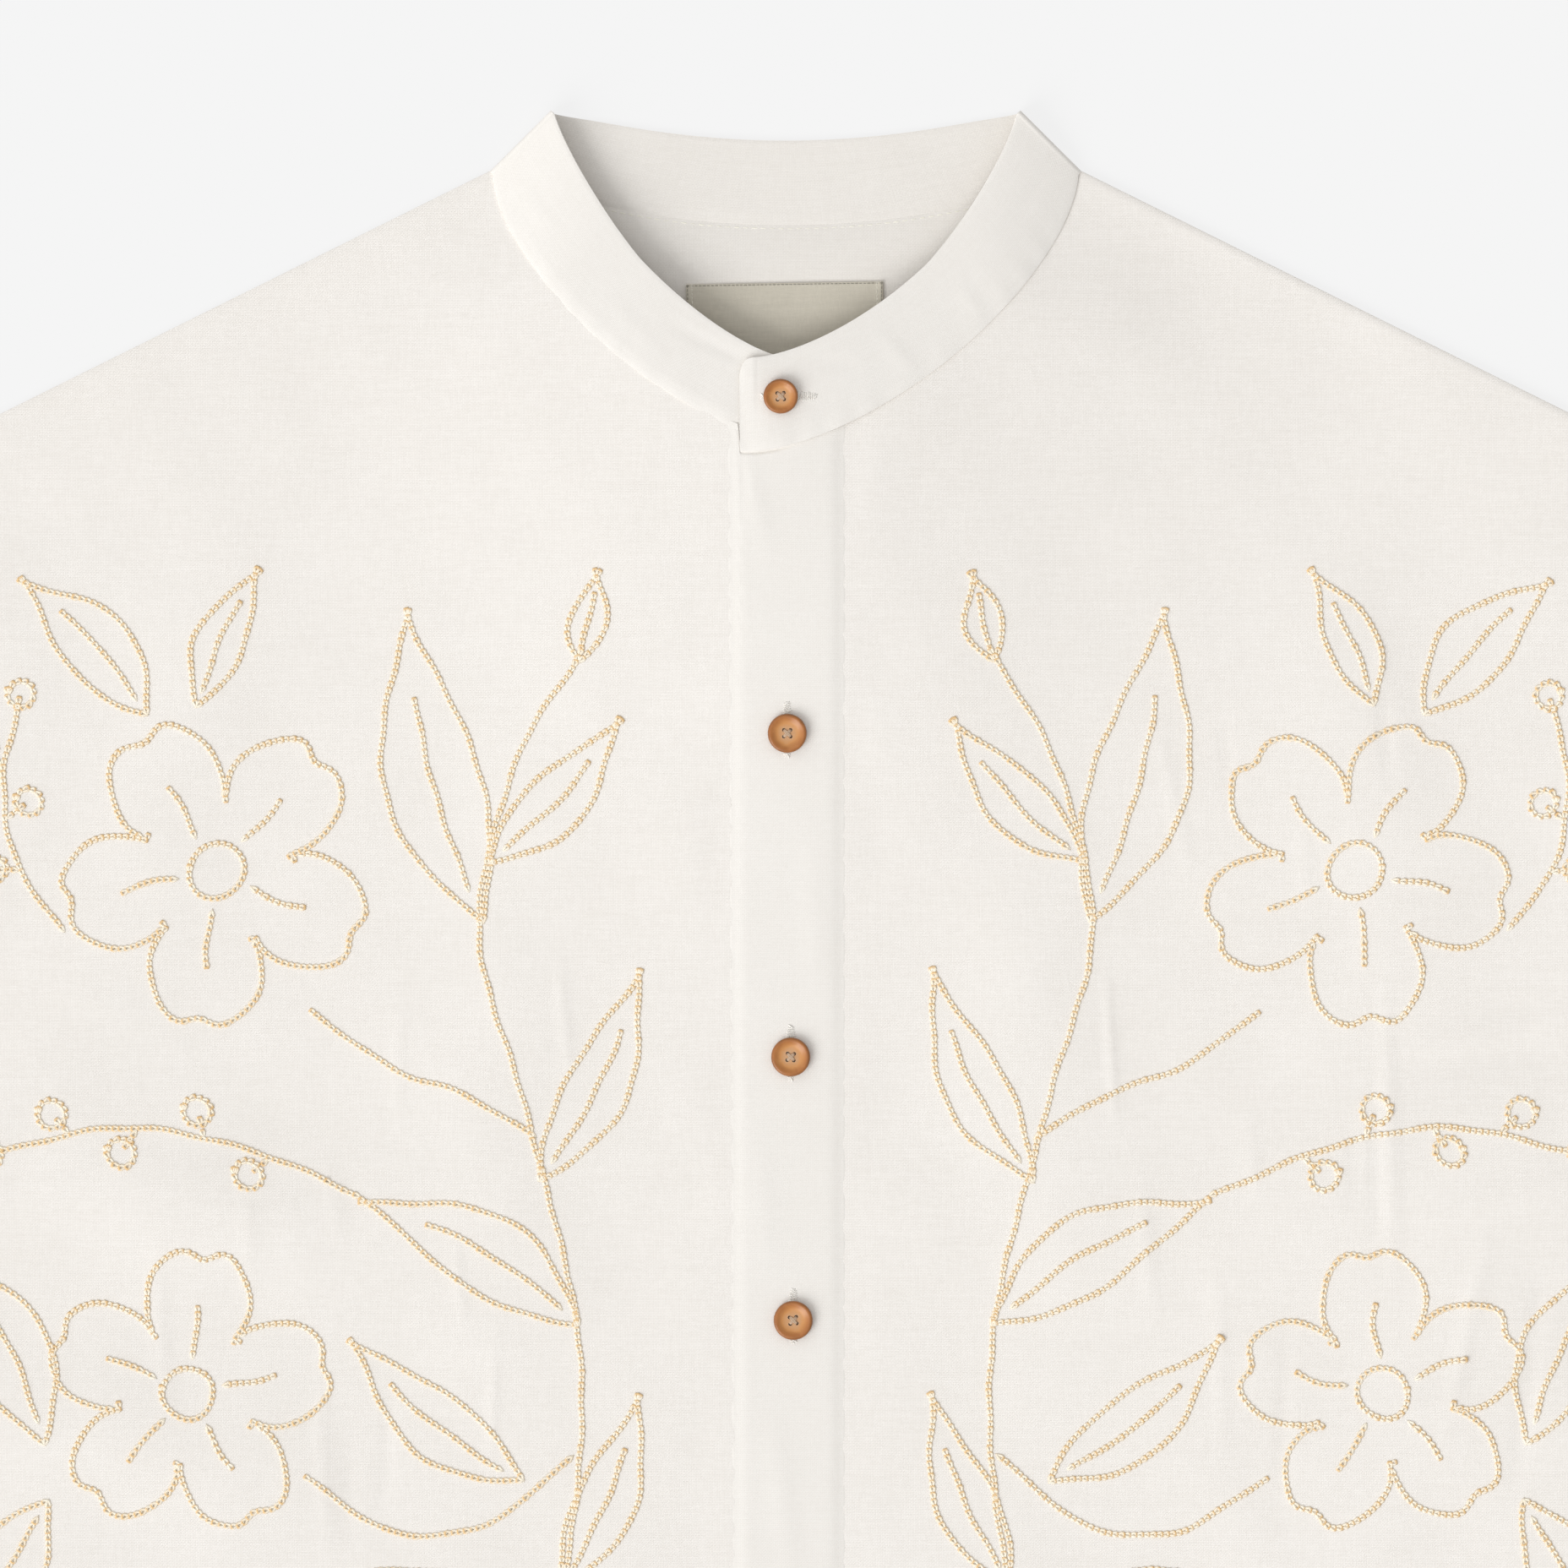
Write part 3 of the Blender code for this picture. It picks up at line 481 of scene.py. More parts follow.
def front_top(x, y):
    """Upper face of the fronts as it is seen."""
    edge = np.minimum(inside_outline(x, y) / 0.010, 1)
    loose = ease(edge) * ease((np.abs(x) - PLACKET_RIGHT) / 0.012)
    return front_height(x, y) + CLOTH + loose * (rumple(x, y) + ridge_height(x, y, CREASES))


def arch(reach, past_middle, high, low, roundness, turn):
    """Half of a neckline. turn is 0 at its lowest point and a quarter circle at its outer end."""
    power = 2 / roundness
    x = (reach + past_middle) * np.sin(turn) ** power - past_middle
    return x, high - (high - low) * np.maximum(np.cos(turn), 0) ** power


def near_front_fold(turn):
    return np.exp(-(((np.pi / 2 - turn) / FRONT_FOLD_REACH) ** 2))


def front_seam(turn):
    seam = arch(NECK_X, SEAM_PAST_MIDDLE, NECK_Y, SEAM_LOW_Y, SEAM_ROUNDNESS, turn)
    return draw_in(*seam, SEAM_FOLD, near_front_fold(turn))


def seam_turn(x):
    reach = np.clip((x + SEAM_PAST_MIDDLE) / (NECK_X + SEAM_PAST_MIDDLE), 0, 1)
    return np.arcsin(reach ** (SEAM_ROUNDNESS / 2))


def make_front(name, side, inner_x):
    """A front panel. Its neck edge is tucked under the collar, and its rim comes down onto the back."""
    turns = seam_turn(inner_x) + (np.pi / 2 - seam_turn(inner_x)) * np.linspace(0, 1, 90)
    seam_x, seam_y = front_seam(turns)
    inward = TUCK * np.sin(turns) ** 0.5, TUCK * np.cos(turns) ** 0.5
    tucked = ease((np.pi / 2 - turns) / TUCK_FADE)
    neck = np.column_stack([seam_x - inward[0] * tucked * 0.7, seam_y + inward[1] * tucked])
    top = np.concatenate([neck, shoulder_half]) * (side, 1)
    neck_share = travelled(top)[len(neck)]
    edge = np.array([(side * inner_x, HEM_Y), top[0]])
    hem = np.array([(side * inner_x, HEM_Y), (side * HEM_HALF, HEM_Y)])
    rim = 0.002 / 0.30
    across = spread([0, 0.5 * neck_share, neck_share, 1 - 2 * rim, 1 - rim / 2, 1], [40, 40, 84, 2, 2])
    up = spread([0, 0.002, 0.006, underarm_share, 0.9935, 0.998, 1], [2, 2, 96, 62, 2, 2])
    plan = panel_plan(hem, top, edge, side_line(side), across, up)
    if side < 0:
        plan = plan[:, ::-1]
    x, y = plan[..., 0], plan[..., 1]
    inside = inside_outline(x, y)
    upper = front_top(x, y) - RIM_DROP * (1 - ease(inside / RIM_REACH))
    lower = np.minimum(front_height(x, y) - EDGE_SINK * (1 - ease(inside / SINK_REACH)), upper - THINNEST)
    return cloth_wall(name, np.dstack([plan, lower]), np.dstack([plan, upper]), plan, 0.0003)


front_left = make_front("front_left_cloth", -1, -FRONT_EDGE)
front_right = make_front("front_right_cloth", 1, FRONT_EDGE + EDGES_APART)
place_on(front_left, linen, "linen", "front_left")
place_on(front_right, linen, "linen", "front_right")

# Placket. A folded band of linen sewn down the front over both front edges. Doubled cloth is denser, so
# it is whiter than the body, and its edges are soft.
PLACKET_THICK, PLACKET_SOFT = 0.0006, 0.0050
PLACKET_PUCKER, PLACKET_TUCK, PLACKET_SUNK, LAPPED_TO = 0.00004, 0.0018, 0.0002, -0.0149
END_GROOVE, END_GROOVE_HALF, END_GROOVE_PAST_SEAM = 0.00055, 0.0005, 0.0004
DENSE_LIGHT, DENSE_DARK = (0.917, 0.887, 0.844), (0.855, 0.820, 0.770)
PLACKET_CREASES = (
    # from x, from y, to x, to y, half width, height
    (-0.0143, 0.2780, -0.0130, 0.2500, 0.0009, -0.00035),
    (-0.0120, 0.2660, -0.0060, 0.2400, 0.0030, 0.00025),
    (0.0080, 0.1500, 0.0100, 0.1000, 0.0040, 0.00025),
    (-0.0080, 0.0500, -0.0060, 0.0100, 0.0040, 0.00025),
    (-0.0040, -0.0400, 0.0020, -0.0900, 0.0040, 0.00030),
    (0.0060, -0.2200, 0.0040, -0.2700, 0.0040, 0.00030),
)


def placket_x(share, y):
    left = PLACKET_LEFT + (PLACKET_HEM_LEFT - PLACKET_LEFT) * (TOP_Y - y) / (TOP_Y - HEM_Y)
    return left + (PLACKET_RIGHT - left) * share


def placket_top(x, y):
    """Upper face of the placket, rounded down at both edges and puckered along their seams."""
    left = placket_x(0, y)
    inside = np.minimum(x - left, PLACKET_RIGHT - x)
    thick = PLACKET_THICK * ease(inside / PLACKET_SOFT)
    pucker = PLACKET_PUCKER * np.exp(-inside / 0.004) * np.sin(y * 620 + 2.2 * np.sin(y * 83) + x * 40)
    return front_height(x, y) + CLOTH + thick + pucker + ridge_height(x, y, PLACKET_CREASES)


placket_share = spread([0, 0.10, 0.90, 1], [5, 21, 5])
placket_up = spread([0, 0.003, 0.90, 0.99, 1], [2, 240, 36, 26])
placket_plan = np.zeros((len(placket_up), len(placket_share), 2))
for column, share in enumerate(placket_share):
    end_x = placket_x(share, SEAM_LOW_Y)
    end_y = front_seam(seam_turn(-end_x if end_x < LAPPED_TO else end_x))[1] + PLACKET_TUCK
    y = HEM_Y + (end_y - HEM_Y) * placket_up
    placket_plan[:, column] = np.column_stack([placket_x(share, y), y])
plan_x, plan_y = placket_plan[..., 0], placket_plan[..., 1]
below_seam = plan_y[-1:] - PLACKET_TUCK - plan_y
groove = END_GROOVE * np.exp(-(((below_seam - END_GROOVE_PAST_SEAM) / END_GROOVE_HALF) ** 2))
groove *= ease((0.005 - plan_x) / 0.010) * ease((plan_x + 0.0165) / 0.004)
placket_low = np.dstack([placket_plan, front_height(plan_x, plan_y) + CLOTH - PLACKET_SUNK])
placket_high = np.dstack([placket_plan, placket_top(plan_x, plan_y) - groove])
placket = cloth_wall("placket_cloth", placket_low, placket_high, placket_plan, 0.00005)
dense_weave = {"threads": 2100, "depth": 0.00007, "streaks": 0.35, "clouds": 0.40, "gaps": 0.12}
dense_linen = woven("dense_linen", DENSE_LIGHT, DENSE_DARK, **dense_weave)
place_on(placket, dense_linen, "dense_linen", "placket")

# Collar band. One band of doubled linen, sewn round the neck, folded at both sides as the shirt lies,
# with its right end lapped over the left one and rounded at its top corner.
BAND_TOP_X, BAND_BACK_SAG = 0.0750, 0.0095
BAND_TOP_ARCHES = {-1: (0.0, 0.3010, 1.40, 0.0020), 1: (0.0100, 0.3010, 1.525, 0.0024)}
STRAIGHT_FROM, BAND_EASE = 0.8, 0.0019
TOP_FOLD, TOP_FOLD_DEPTH, TOP_FOLD_REACH, BAND_TOP_RISE = 0.0046, 0.0006, 0.18, 0.0040
BAND_LAP, LAP_CORNER, LAP_STEP, LAP_DIP = 0.0146, 0.0060, 0.0012, 0.0003
LAP_STEP_FROM, LAP_STEP_TO = 0.060, 0.015
SEAM_GAP, BAND_ACROSS, BAND_HIGH = 0.0004, 18, 0.027
FRONT_FROM_Z, FRONT_OVER_Z = 0.004, 0.003
SEAM_THIN, SEAM_SOFT, LAP_THIN, LAP_SOFT = {-1: 0.0005, 1: 0.0003}, 0.0040, 0.00126, 0.0100
BAND_THIN, BACK_SEAM_THIN, LAP_OPEN, BAND_PUCKER = 0.0005, 0.00025, 0.012, 0.00012
BAND_CREASES = (
    # from x, from y, to x, to y, half width, height
    (-0.0367, 0.3114, -0.0097, 0.2985, 0.0016, -0.00030),
    (-0.0560, 0.3190, -0.0400, 0.3020, 0.0030, 0.00020),
    (0.0095, 0.2995, 0.0216, 0.2990, 0.0018, -0.00025),
    (0.0300, 0.3080, 0.0420, 0.2960, 0.0022, 0.00025),
    (0.0560, 0.3230, 0.0620, 0.3150, 0.0020, 0.00022),
    (0.0840, 0.3600, 0.0700, 0.3420, 0.0018, -0.00022),
    (-0.0860, 0.3560, -0.0760, 0.3440, 0.0022, 0.00022),
)


def band_front(side):
    """Rulings of one front half of the band, from the lapped end out to the fold: seam and top points."""
    turns = np.concatenate([np.linspace(0, 0.5, 30, endpoint=False), np.linspace(0.5, np.pi / 2, 70)])
    seam_x, seam_y = front_seam(turns)
    past_middle, low, roundness, straighter = BAND_TOP_ARCHES[side]
    arch_x, arch_y = arch(BAND_TOP_X, past_middle, TOP_Y, low, roundness, turns)
    upper_part = np.clip((turns - STRAIGHT_FROM) / (np.pi / 2 - STRAIGHT_FROM), 0, 1)
    arch_x = arch_x - straighter * np.sin(np.pi * upper_part)
    top_x, top_y = draw_in(arch_x, arch_y, TOP_FOLD_DEPTH, np.exp(-(((np.pi / 2 - turns) / TOP_FOLD_REACH) ** 2)))
    lapped = ease((LAP_STEP_FROM - seam_x) / (LAP_STEP_FROM - LAP_STEP_TO))
    step_up = (LAP_STEP if side > 0 else -LAP_DIP) * lapped
    seam_z = front_rest(seam_x, seam_y) + SEAM_GAP + BAND_CLOTH / 2 + step_up
    rise = BAND_TOP_RISE * np.maximum(np.cos(turns), 0) ** 1.3
    lower = BAND_EASE * np.maximum(np.sin(2 * turns), 0) ** 0.7
    top_z = 2 * TOP_FOLD + BAND_CLOTH / 2 + rise + step_up - lower
    run = np.stack([np.column_stack([seam_x, seam_y, seam_z]), np.column_stack([top_x, top_y, top_z])], axis=1)
    lap = BAND_LAP if side > 0 else FRONT_EDGE
    share = np.array([1, 0.985, 0.95, 0.9, 0.83, 0.74, 0.62, 0.48, 0.34, 0.18])
    end = np.repeat(run[:1], len(share), axis=0)
    end[:, :, 0] += (-lap - end[:, :, 0]) * share[:, None]
    end[:, 1, 1] -= LAP_CORNER * (1 - np.sqrt(1 - share**3.5) + 0.1 * share)
    return np.concatenate([end, run])


def band_half(side):
    rulings = list(band_front(side)[:-1])
    for angle in np.linspace(np.pi / 2, -np.pi / 2, 15):
        ends = []
        for corner_x, corner_y, depth, half_height in (
            (NECK_X, NECK_Y, SEAM_FOLD, SEAM_FOLD),
            (BAND_TOP_X, TOP_Y, TOP_FOLD_DEPTH, TOP_FOLD),
        ):
            inset = (depth + BAND_CLOTH / 2 - depth * math.cos(angle)) / math.sqrt(2)
            upright = (half_height - depth) * min(max(angle / math.radians(30), -1), 1)
            height = BAND_CLOTH / 2 + half_height + upright + depth * math.sin(angle)
            ends.append((corner_x - inset, corner_y - inset, height))
        rulings.append(ends)
    for fraction in np.sin(np.linspace(np.pi / 2, 0, 46))[1:]:
        seam_x, seam_y = back_seam(fraction)
        top_x = BAND_TOP_X * fraction
        top_y = TOP_Y - BAND_BACK_SAG * (1 - fraction**1.95)
        near_fold = math.exp(-(((1 - fraction) / BACK_FOLD_REACH) ** 2))
        top_x, top_y = draw_in(top_x, top_y, TOP_FOLD_DEPTH, near_fold)
        rulings.append([(seam_x, seam_y, BAND_CLOTH / 2), (top_x, top_y, BAND_CLOTH / 2)])
    return np.array(rulings) * (side, 1, 1)


band_rulings = np.concatenate([band_half(-1), band_half(1)[-2::-1]])
band_share = np.linspace(0, 1, BAND_ACROSS + 1)[:, None, None]
band_middle = band_rulings[:, 0] + (band_rulings[:, 1] - band_rulings[:, 0]) * band_share
band_side = np.cross(np.gradient(band_middle, axis=1), np.gradient(band_middle, axis=0))
band_side /= np.linalg.norm(band_side, axis=2, keepdims=True)
band_run = np.cumsum(np.linalg.norm(np.diff(band_middle[7], axis=0, prepend=band_middle[7][:1]), axis=1))
on_front = ease((band_middle[..., 2] - FRONT_FROM_Z) / FRONT_OVER_Z)
pucker = np.exp(-band_share[..., 0] * 5) * np.sin(band_run * 560 + 2 * np.sin(band_run * 71))[None]
creased = ridge_height(band_middle[..., 0], band_middle[..., 1], BAND_CREASES)
from_lap = np.linalg.norm(band_middle - band_middle[:, -1:], axis=2)
near_seam = 1 - ease(np.linalg.norm(band_middle - band_middle[:1], axis=2) / SEAM_SOFT)
seam_thin = np.where(band_middle[..., 0] < -BAND_LAP - 0.0002, SEAM_THIN[-1], SEAM_THIN[1])
pressed = seam_thin * near_seam + LAP_THIN * (1 - ease(from_lap / LAP_SOFT))
raised = on_front * (BAND_PUCKER * pucker + creased - np.minimum(pressed, LAP_THIN))
thinned = BAND_THIN * on_front * ease(from_lap / LAP_OPEN - 1) + BACK_SEAM_THIN * (1 - on_front) * near_seam
band_outer = band_middle + band_side * (-BAND_CLOTH / 2 - raised)[..., None]
band_inner = band_middle + band_side * (BAND_CLOTH / 2 - thinned)[..., None]
band_threads = np.dstack(np.broadcast_arrays(band_run[None], band_share[..., 0] * BAND_HIGH))
band = cloth_wall("collar_cloth", band_outer, band_inner, band_threads, 0.0004, shade_inside=True)
place_on(band, dense_linen, "dense_linen", "collar_band")
# The band's inner face takes the darker linen as painted shade.
band.data.materials.append(linen_inside_shaded)

# Sleeves. Short tubes of the same linen, folded along the top and seamed under the arm, with a turned
# hem at the cuff. Each is open at armhole and cuff.
SLEEVE_LENGTH, SLEEVE_SLOPE = 0.235, math.radians(31)
CUFF_WIDTH, CUFF_TURN, SLEEVE_PUFF, CUFF_HEM = 0.200, math.radians(6), 0.0030, 0.022
SLEEVE_GAP, CUFF_STEP = 0.0003, 0.0004
SLEEVE_FOLDS = (
    # along from, across from, along to, across to, half width, height
    (0.06, 0.72, 0.62, 0.60, 0.085, 0.0034),
    (0.10, 0.34, 0.80, 0.42, 0.080, 0.0026),
)
SLEEVE_CREASES = (
    # along from, across from, along to, across to, half width, height
    (0.02, 0.52, 0.40, 0.50, 0.018, 0.0006),
    (0.30, 0.18, 0.72, 0.22, 0.016, 0.0005),
    (0.45, 0.80, 0.85, 0.72, 0.018, 0.0006),
    (0.05, 0.88, 0.30, 0.80, 0.016, 0.0006),
)


def sleeve_plan(along_sleeve, across_sleeve):
    arm_x = armhole_x(across_sleeve)
    arm_y = shoulder_y(SHOULDER_X) - UNDERARM_DROP * across_sleeve
    cuff_top_x = SHOULDER_X + SLEEVE_LENGTH * math.cos(SLEEVE_SLOPE)
    cuff_top_y = shoulder_y(SHOULDER_X) - SLEEVE_LENGTH * math.sin(SLEEVE_SLOPE)
    cuff_angle = SLEEVE_SLOPE + CUFF_TURN
    cuff_x = cuff_top_x - CUFF_WIDTH * math.sin(cuff_angle) * across_sleeve
    cuff_y = cuff_top_y - CUFF_WIDTH * math.cos(cuff_angle) * across_sleeve
    return arm_x + (cuff_x - arm_x) * along_sleeve, arm_y + (cuff_y - arm_y) * along_sleeve


def make_sleeve(name, side):
    stations = spread([0, 0.01, 0.99, 1], [2, 44, 2])
    turns = np.linspace(0, 2 * np.pi, 96, endpoint=False)
    across = (1 - np.cos(turns)) / 2
    upper_side = turns > np.pi
    round_off = np.sqrt(np.clip(1 - (2 * np.abs(across - 0.5)) ** 16, 0, 1))
    swell = SLEEVE_PUFF * np.sin(np.pi * across) ** 0.8
    inset = CLOTH / CUFF_WIDTH
    rows = []
    for part in stations:
        creased = ridge_height(part, across, SLEEVE_FOLDS) + ridge_height(part, across, SLEEVE_CREASES)
        puffed = math.sin(math.pi * part) ** 0.7 * (swell + creased * np.sin(np.pi * across) ** 0.5)
        doubled = CUFF_STEP * (part > 1 - CUFF_HEM / SLEEVE_LENGTH)
        middle = (2 * CLOTH + SLEEVE_GAP + doubled + puffed) / 2
        outer = middle * np.where(upper_side, 1 + round_off, 1 - round_off)
        inner = outer + CLOTH * np.where(upper_side, -round_off, round_off)
        for shape, height in ((across, outer), (inset + (1 - 2 * inset) * across, inner)):
            x, y = sleeve_plan(part, shape)
            rows.append(np.column_stack([side * x, y, np.maximum(height, 0)]))
    index = np.arange(len(rows) * len(turns)).reshape(len(stations), 2, len(turns))
    after = np.roll(index, -1, axis=2)
    skin = np.stack([index[:-1, 0], index[1:, 0], after[1:, 0], after[:-1, 0]], axis=-1).reshape(-1, 4)
    lining = np.stack([after[:-1, 1], after[1:, 1], index[1:, 1], index[:-1, 1]], axis=-1).reshape(-1, 4)
    arm_end = np.stack([index[0, 0], after[0, 0], after[0, 1], index[0, 1]], axis=-1)
    cuff_end = np.stack([after[-1, 0], index[-1, 0], index[-1, 1], after[-1, 1]], axis=-1)
    faces = np.concatenate([skin, lining, arm_end, cuff_end])[:, ::side]
    threads = np.zeros((*index.shape, 2))
    threads[..., 0] = stations[:, None, None] * SLEEVE_LENGTH
    threads[..., 1] = across * CUFF_WIDTH
    return settled(cloth_piece(name, np.concatenate(rows), faces, threads.reshape(-1, 2)))


sleeve_left = make_sleeve("sleeve_left_cloth", -1)
sleeve_right = make_sleeve("sleeve_right_cloth", 1)
for sleeve, node in ((sleeve_left, "sleeve_left"), (sleeve_right, "sleeve_right")):
    place_on(sleeve, linen, "linen", node)

# Topstitching. A lockstitch in the shirt's own thread holds the turned hem, the cuffs and the armholes,
# and a finer grey one goes round the label.
THREAD_COLOUR, LABEL_THREAD, LABEL_CREAM = (0.93, 0.90, 0.85), (0.30, 0.28, 0.23), (0.93, 0.90, 0.80)
STITCH_PITCH, STITCH_LENGTH, STITCH_WIDE = 0.0028, 0.0022, 0.00042
FINE_PITCH, FINE_LENGTH, FINE_WIDE, LABEL_EDGE = 0.0013, 0.00095, 0.00026, 0.0005
HEM_TURN, ARM_SEAM_IN, NECK_STITCH_DOWN, NECK_STITCH_SUNK = 0.018, 0.006, 0.0012, -0.00024


def marked(tree, name):
    """The number that a mesh keeps at its points under a name."""
    return add_node(tree, "ShaderNodeAttribute", attribute_name=name).outputs["Fac"]


def thread_finish(name, colour):
    """Twisted sewing thread: each stitch a little lighter or darker, with a fine twist across it."""
    material, tree, shader = new_finish(name, roughness=0.75, specular=0.3, sheen=0.1)
    place = add_node(tree, "ShaderNodeTexCoord").outputs["Object"]
    twist = noise(tree, place, 2600.0, detail=2.0, space="3D")
    share = mixed(tree, 0.5, marked(tree, "tone"), twist)
    deep, pale = [c * 0.86 for c in colour], [min(c * 1.08, 1) for c in colour]
    tree.links.new(mixed(tree, share, (*deep, 1), (*pale, 1), "RGBA"), shader["Base Color"])
    add_bump(tree, shader, twist, strength=0.4, distance=0.0001)
    return material


def stitch_tree():
    """Lays copies of one stitch along lines, pressed onto the cloth below them."""
    tree = bpy.data.node_groups.new("stitches_on_cloth", "GeometryNodeTree")
    labels = "Geometry", "Cloth", "Stitch", "Pitch", "Lift", "Unevenness", "Thread"
    kinds = "Geometry", "Object", "Object", "Float", "Float", "Float", "Material"
    for label, kind in zip(labels, kinds):
        tree.interface.new_socket(label, in_out="INPUT", socket_type=f"NodeSocket{kind}")
    tree.interface.new_socket("Geometry", in_out="OUTPUT", socket_type="NodeSocketGeometry")
    given = tree.nodes.new("NodeGroupInput").outputs
    line = add_node(tree, "GeometryNodeMeshToCurve", {0: given["Geometry"]}).outputs[0]
    even = add_node(tree, "GeometryNodeResampleCurve", {"Curve": line, "Length": given["Pitch"]}, mode="LENGTH")
    cloth = add_node(tree, "GeometryNodeObjectInfo", {"Object": given["Cloth"]}).outputs["Geometry"]
    stitch = add_node(tree, "GeometryNodeObjectInfo", {"Object": given["Stitch"]}).outputs["Geometry"]
    here = add_node(tree, "GeometryNodeInputPosition").outputs[0]
    above = maths(tree, "ADD", here, (0, 0, 0.05), kind="ShaderNodeVectorMath")
    ray = {"Target Geometry": cloth, "Source Position": above, "Ray Direction": (0, 0, -1), "Ray Length": 0.2}
    down = add_node(tree, "GeometryNodeRaycast", ray).outputs
    raised = scaled(tree, down["Hit Normal"], given["Lift"])
    spot = maths(tree, "ADD", down["Hit Position"], raised, kind="ShaderNodeVectorMath")
    laid = add_node(tree, "GeometryNodeSetPosition", {"Geometry": even.outputs[0], "Position": spot}).outputs[0]
    heading = add_node(tree, "GeometryNodeInputTangent").outputs[0]
    axes = {"primary_axis": "Z", "secondary_axis": "X"}
    turned = add_node(tree, "FunctionNodeAxesToRotation", {0: down["Hit Normal"], 1: heading}, **axes).outputs[0]
    chance = add_node(tree, "FunctionNodeRandomValue", {"Seed": 7}, data_type="FLOAT").outputs[1]
    amount = maths(tree, "MULTIPLY", maths(tree, "SUBTRACT", chance, 0.5), given["Unevenness"])
    size = maths(tree, "ADD", amount, 1.0)
    each = {"Points": laid, "Instance": stitch, "Rotation": turned, "Scale": size}
    copies = add_node(tree, "GeometryNodeInstanceOnPoints", each).outputs[0]
    tone = {"Geometry": copies, "Name": "tone", "Value": chance}
    toned = add_node(tree, "GeometryNodeStoreNamedAttribute", tone, data_type="FLOAT", domain="INSTANCE")
    real = add_node(tree, "GeometryNodeRealizeInstances", {0: toned.outputs[0]}).outputs[0]
    dressed = add_node(tree, "GeometryNodeSetMaterial", {"Geometry": real, "Material": given["Thread"]}).outputs[0]
    tree.links.new(dressed, tree.nodes.new("NodeGroupOutput").inputs[0])
    return tree


stitches_on_cloth = stitch_tree()


def ring_faces(count, sides, closed):
    """Faces between rings of points. In a closed loop the last ring meets the first."""
    faces = []
    for step in range(count if closed else count - 1):
        here, there = step * sides, (step + 1) % count * sides
        for side in range(sides):
            after = (side + 1) % sides
            faces.append((here + side, here + after, there + after, there + side))
    return faces


def tube(path, radius_wide, radius_high, sides):
    """Points and faces of a closed or open tube along a flat path, with its inner side marked."""
    closed = np.allclose(path[0], path[-1])
    centre = path[:-1] if closed else path
    heading = np.roll(centre, -1, axis=0) - np.roll(centre, 1, axis=0) if closed else np.gradient(centre, axis=0)
    heading /= np.linalg.norm(heading, axis=1, keepdims=True)
    aside = np.cross((0, 0, 1), heading)
    aside /= np.linalg.norm(aside, axis=1, keepdims=True)
    over = np.cross(heading, aside)
    angles = 2 * np.pi * np.arange(sides) / sides
    ring = aside[:, None] * np.cos(angles)[None, :, None] * radius_wide
    ring = ring + over[:, None] * np.sin(angles)[None, :, None] * radius_high
    count = len(centre)
    faces = ring_faces(count, sides, closed)
    if not closed:
        faces += [tuple(range(sides - 1, -1, -1)), tuple(range((count - 1) * sides, count * sides))]
    return (centre[:, None] + ring).reshape(-1, 3), faces, np.tile(np.clip(np.cos(angles), 0, 1), count)


def mark(mesh, name, values):
    mesh.attributes.new(name, "FLOAT", "POINT").data.foreach_set("value", np.asarray(values, np.float32))


def stitch_shape(name, points, faces, ochre_and_shade):
    mesh = bpy.data.meshes.new(name)
    mesh.from_pydata([tuple(point) for point in points], [], faces)
    mesh.shade_smooth()
    # The second mark is the share of ochre, painted shade included, that the two-tone thread reads.
    mark(mesh, "ochre_and_shade", ochre_and_shade)
    return new_object(name, mesh)


def straight_stitch(name, length, wide):
    """One lockstitch: a short thread that dips into the cloth at both ends."""
    share = np.linspace(-1, 1, 7)
    path = np.column_stack([share * length / 2, np.zeros(7), (1 - share**4) * wide * 0.9 - wide * 0.5])
    points, faces, inner = tube(path, wide / 2, wide / 2, 6)
    return stitch_shape(name, points, faces, inner * 0)


def sew(name, lines, cloth, thread, slot, stitch, pitch, unevenness, lift=0.0):
    """A run of stitches along plan lines, as one mesh that rides with the shirt."""
    points, edges = [], []
    for line in lines:
        edges += [(len(points) + step, len(points) + step + 1) for step in range(len(line) - 1)]
        points += [(x, y, 0.0) for x, y in line]
    mesh = bpy.data.meshes.new(name)
    mesh.from_pydata(points, edges, [])
    run = new_object(name, mesh)
    laying = run.modifiers.new("stitches", "NODES")
    laying.node_group = stitches_on_cloth
    given = {"Cloth": cloth, "Stitch": stitch, "Pitch": pitch, "Lift": lift}
    given |= {"Unevenness": unevenness, "Thread": thread}
    for item in stitches_on_cloth.interface.items_tree:
        if item.name in given:
            laying[item.identifier] = given[item.name]
    bpy.context.view_layer.update()
    settled(run, None)
    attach(run, "root")
    return run


def put_away(*shapes):
    for shape in shapes:
        bpy.data.objects.remove(shape, do_unlink=True)


thread_white = thread_finish("thread_white", THREAD_COLOUR)
thread_grey = thread_finish("thread_grey", LABEL_THREAD)
thread_cream = thread_finish("thread_cream", LABEL_CREAM)
lockstitch = straight_stitch("lockstitch", STITCH_LENGTH, STITCH_WIDE)
fine_stitch = straight_stitch("fine_stitch", FINE_LENGTH, FINE_WIDE)
plainly = {"stitch": lockstitch, "pitch": STITCH_PITCH, "unevenness": 0.15}
finely = {"stitch": fine_stitch, "pitch": FINE_PITCH, "unevenness": 0.2}
both_fronts = (("left", -1, front_left), ("right", 1, front_right))

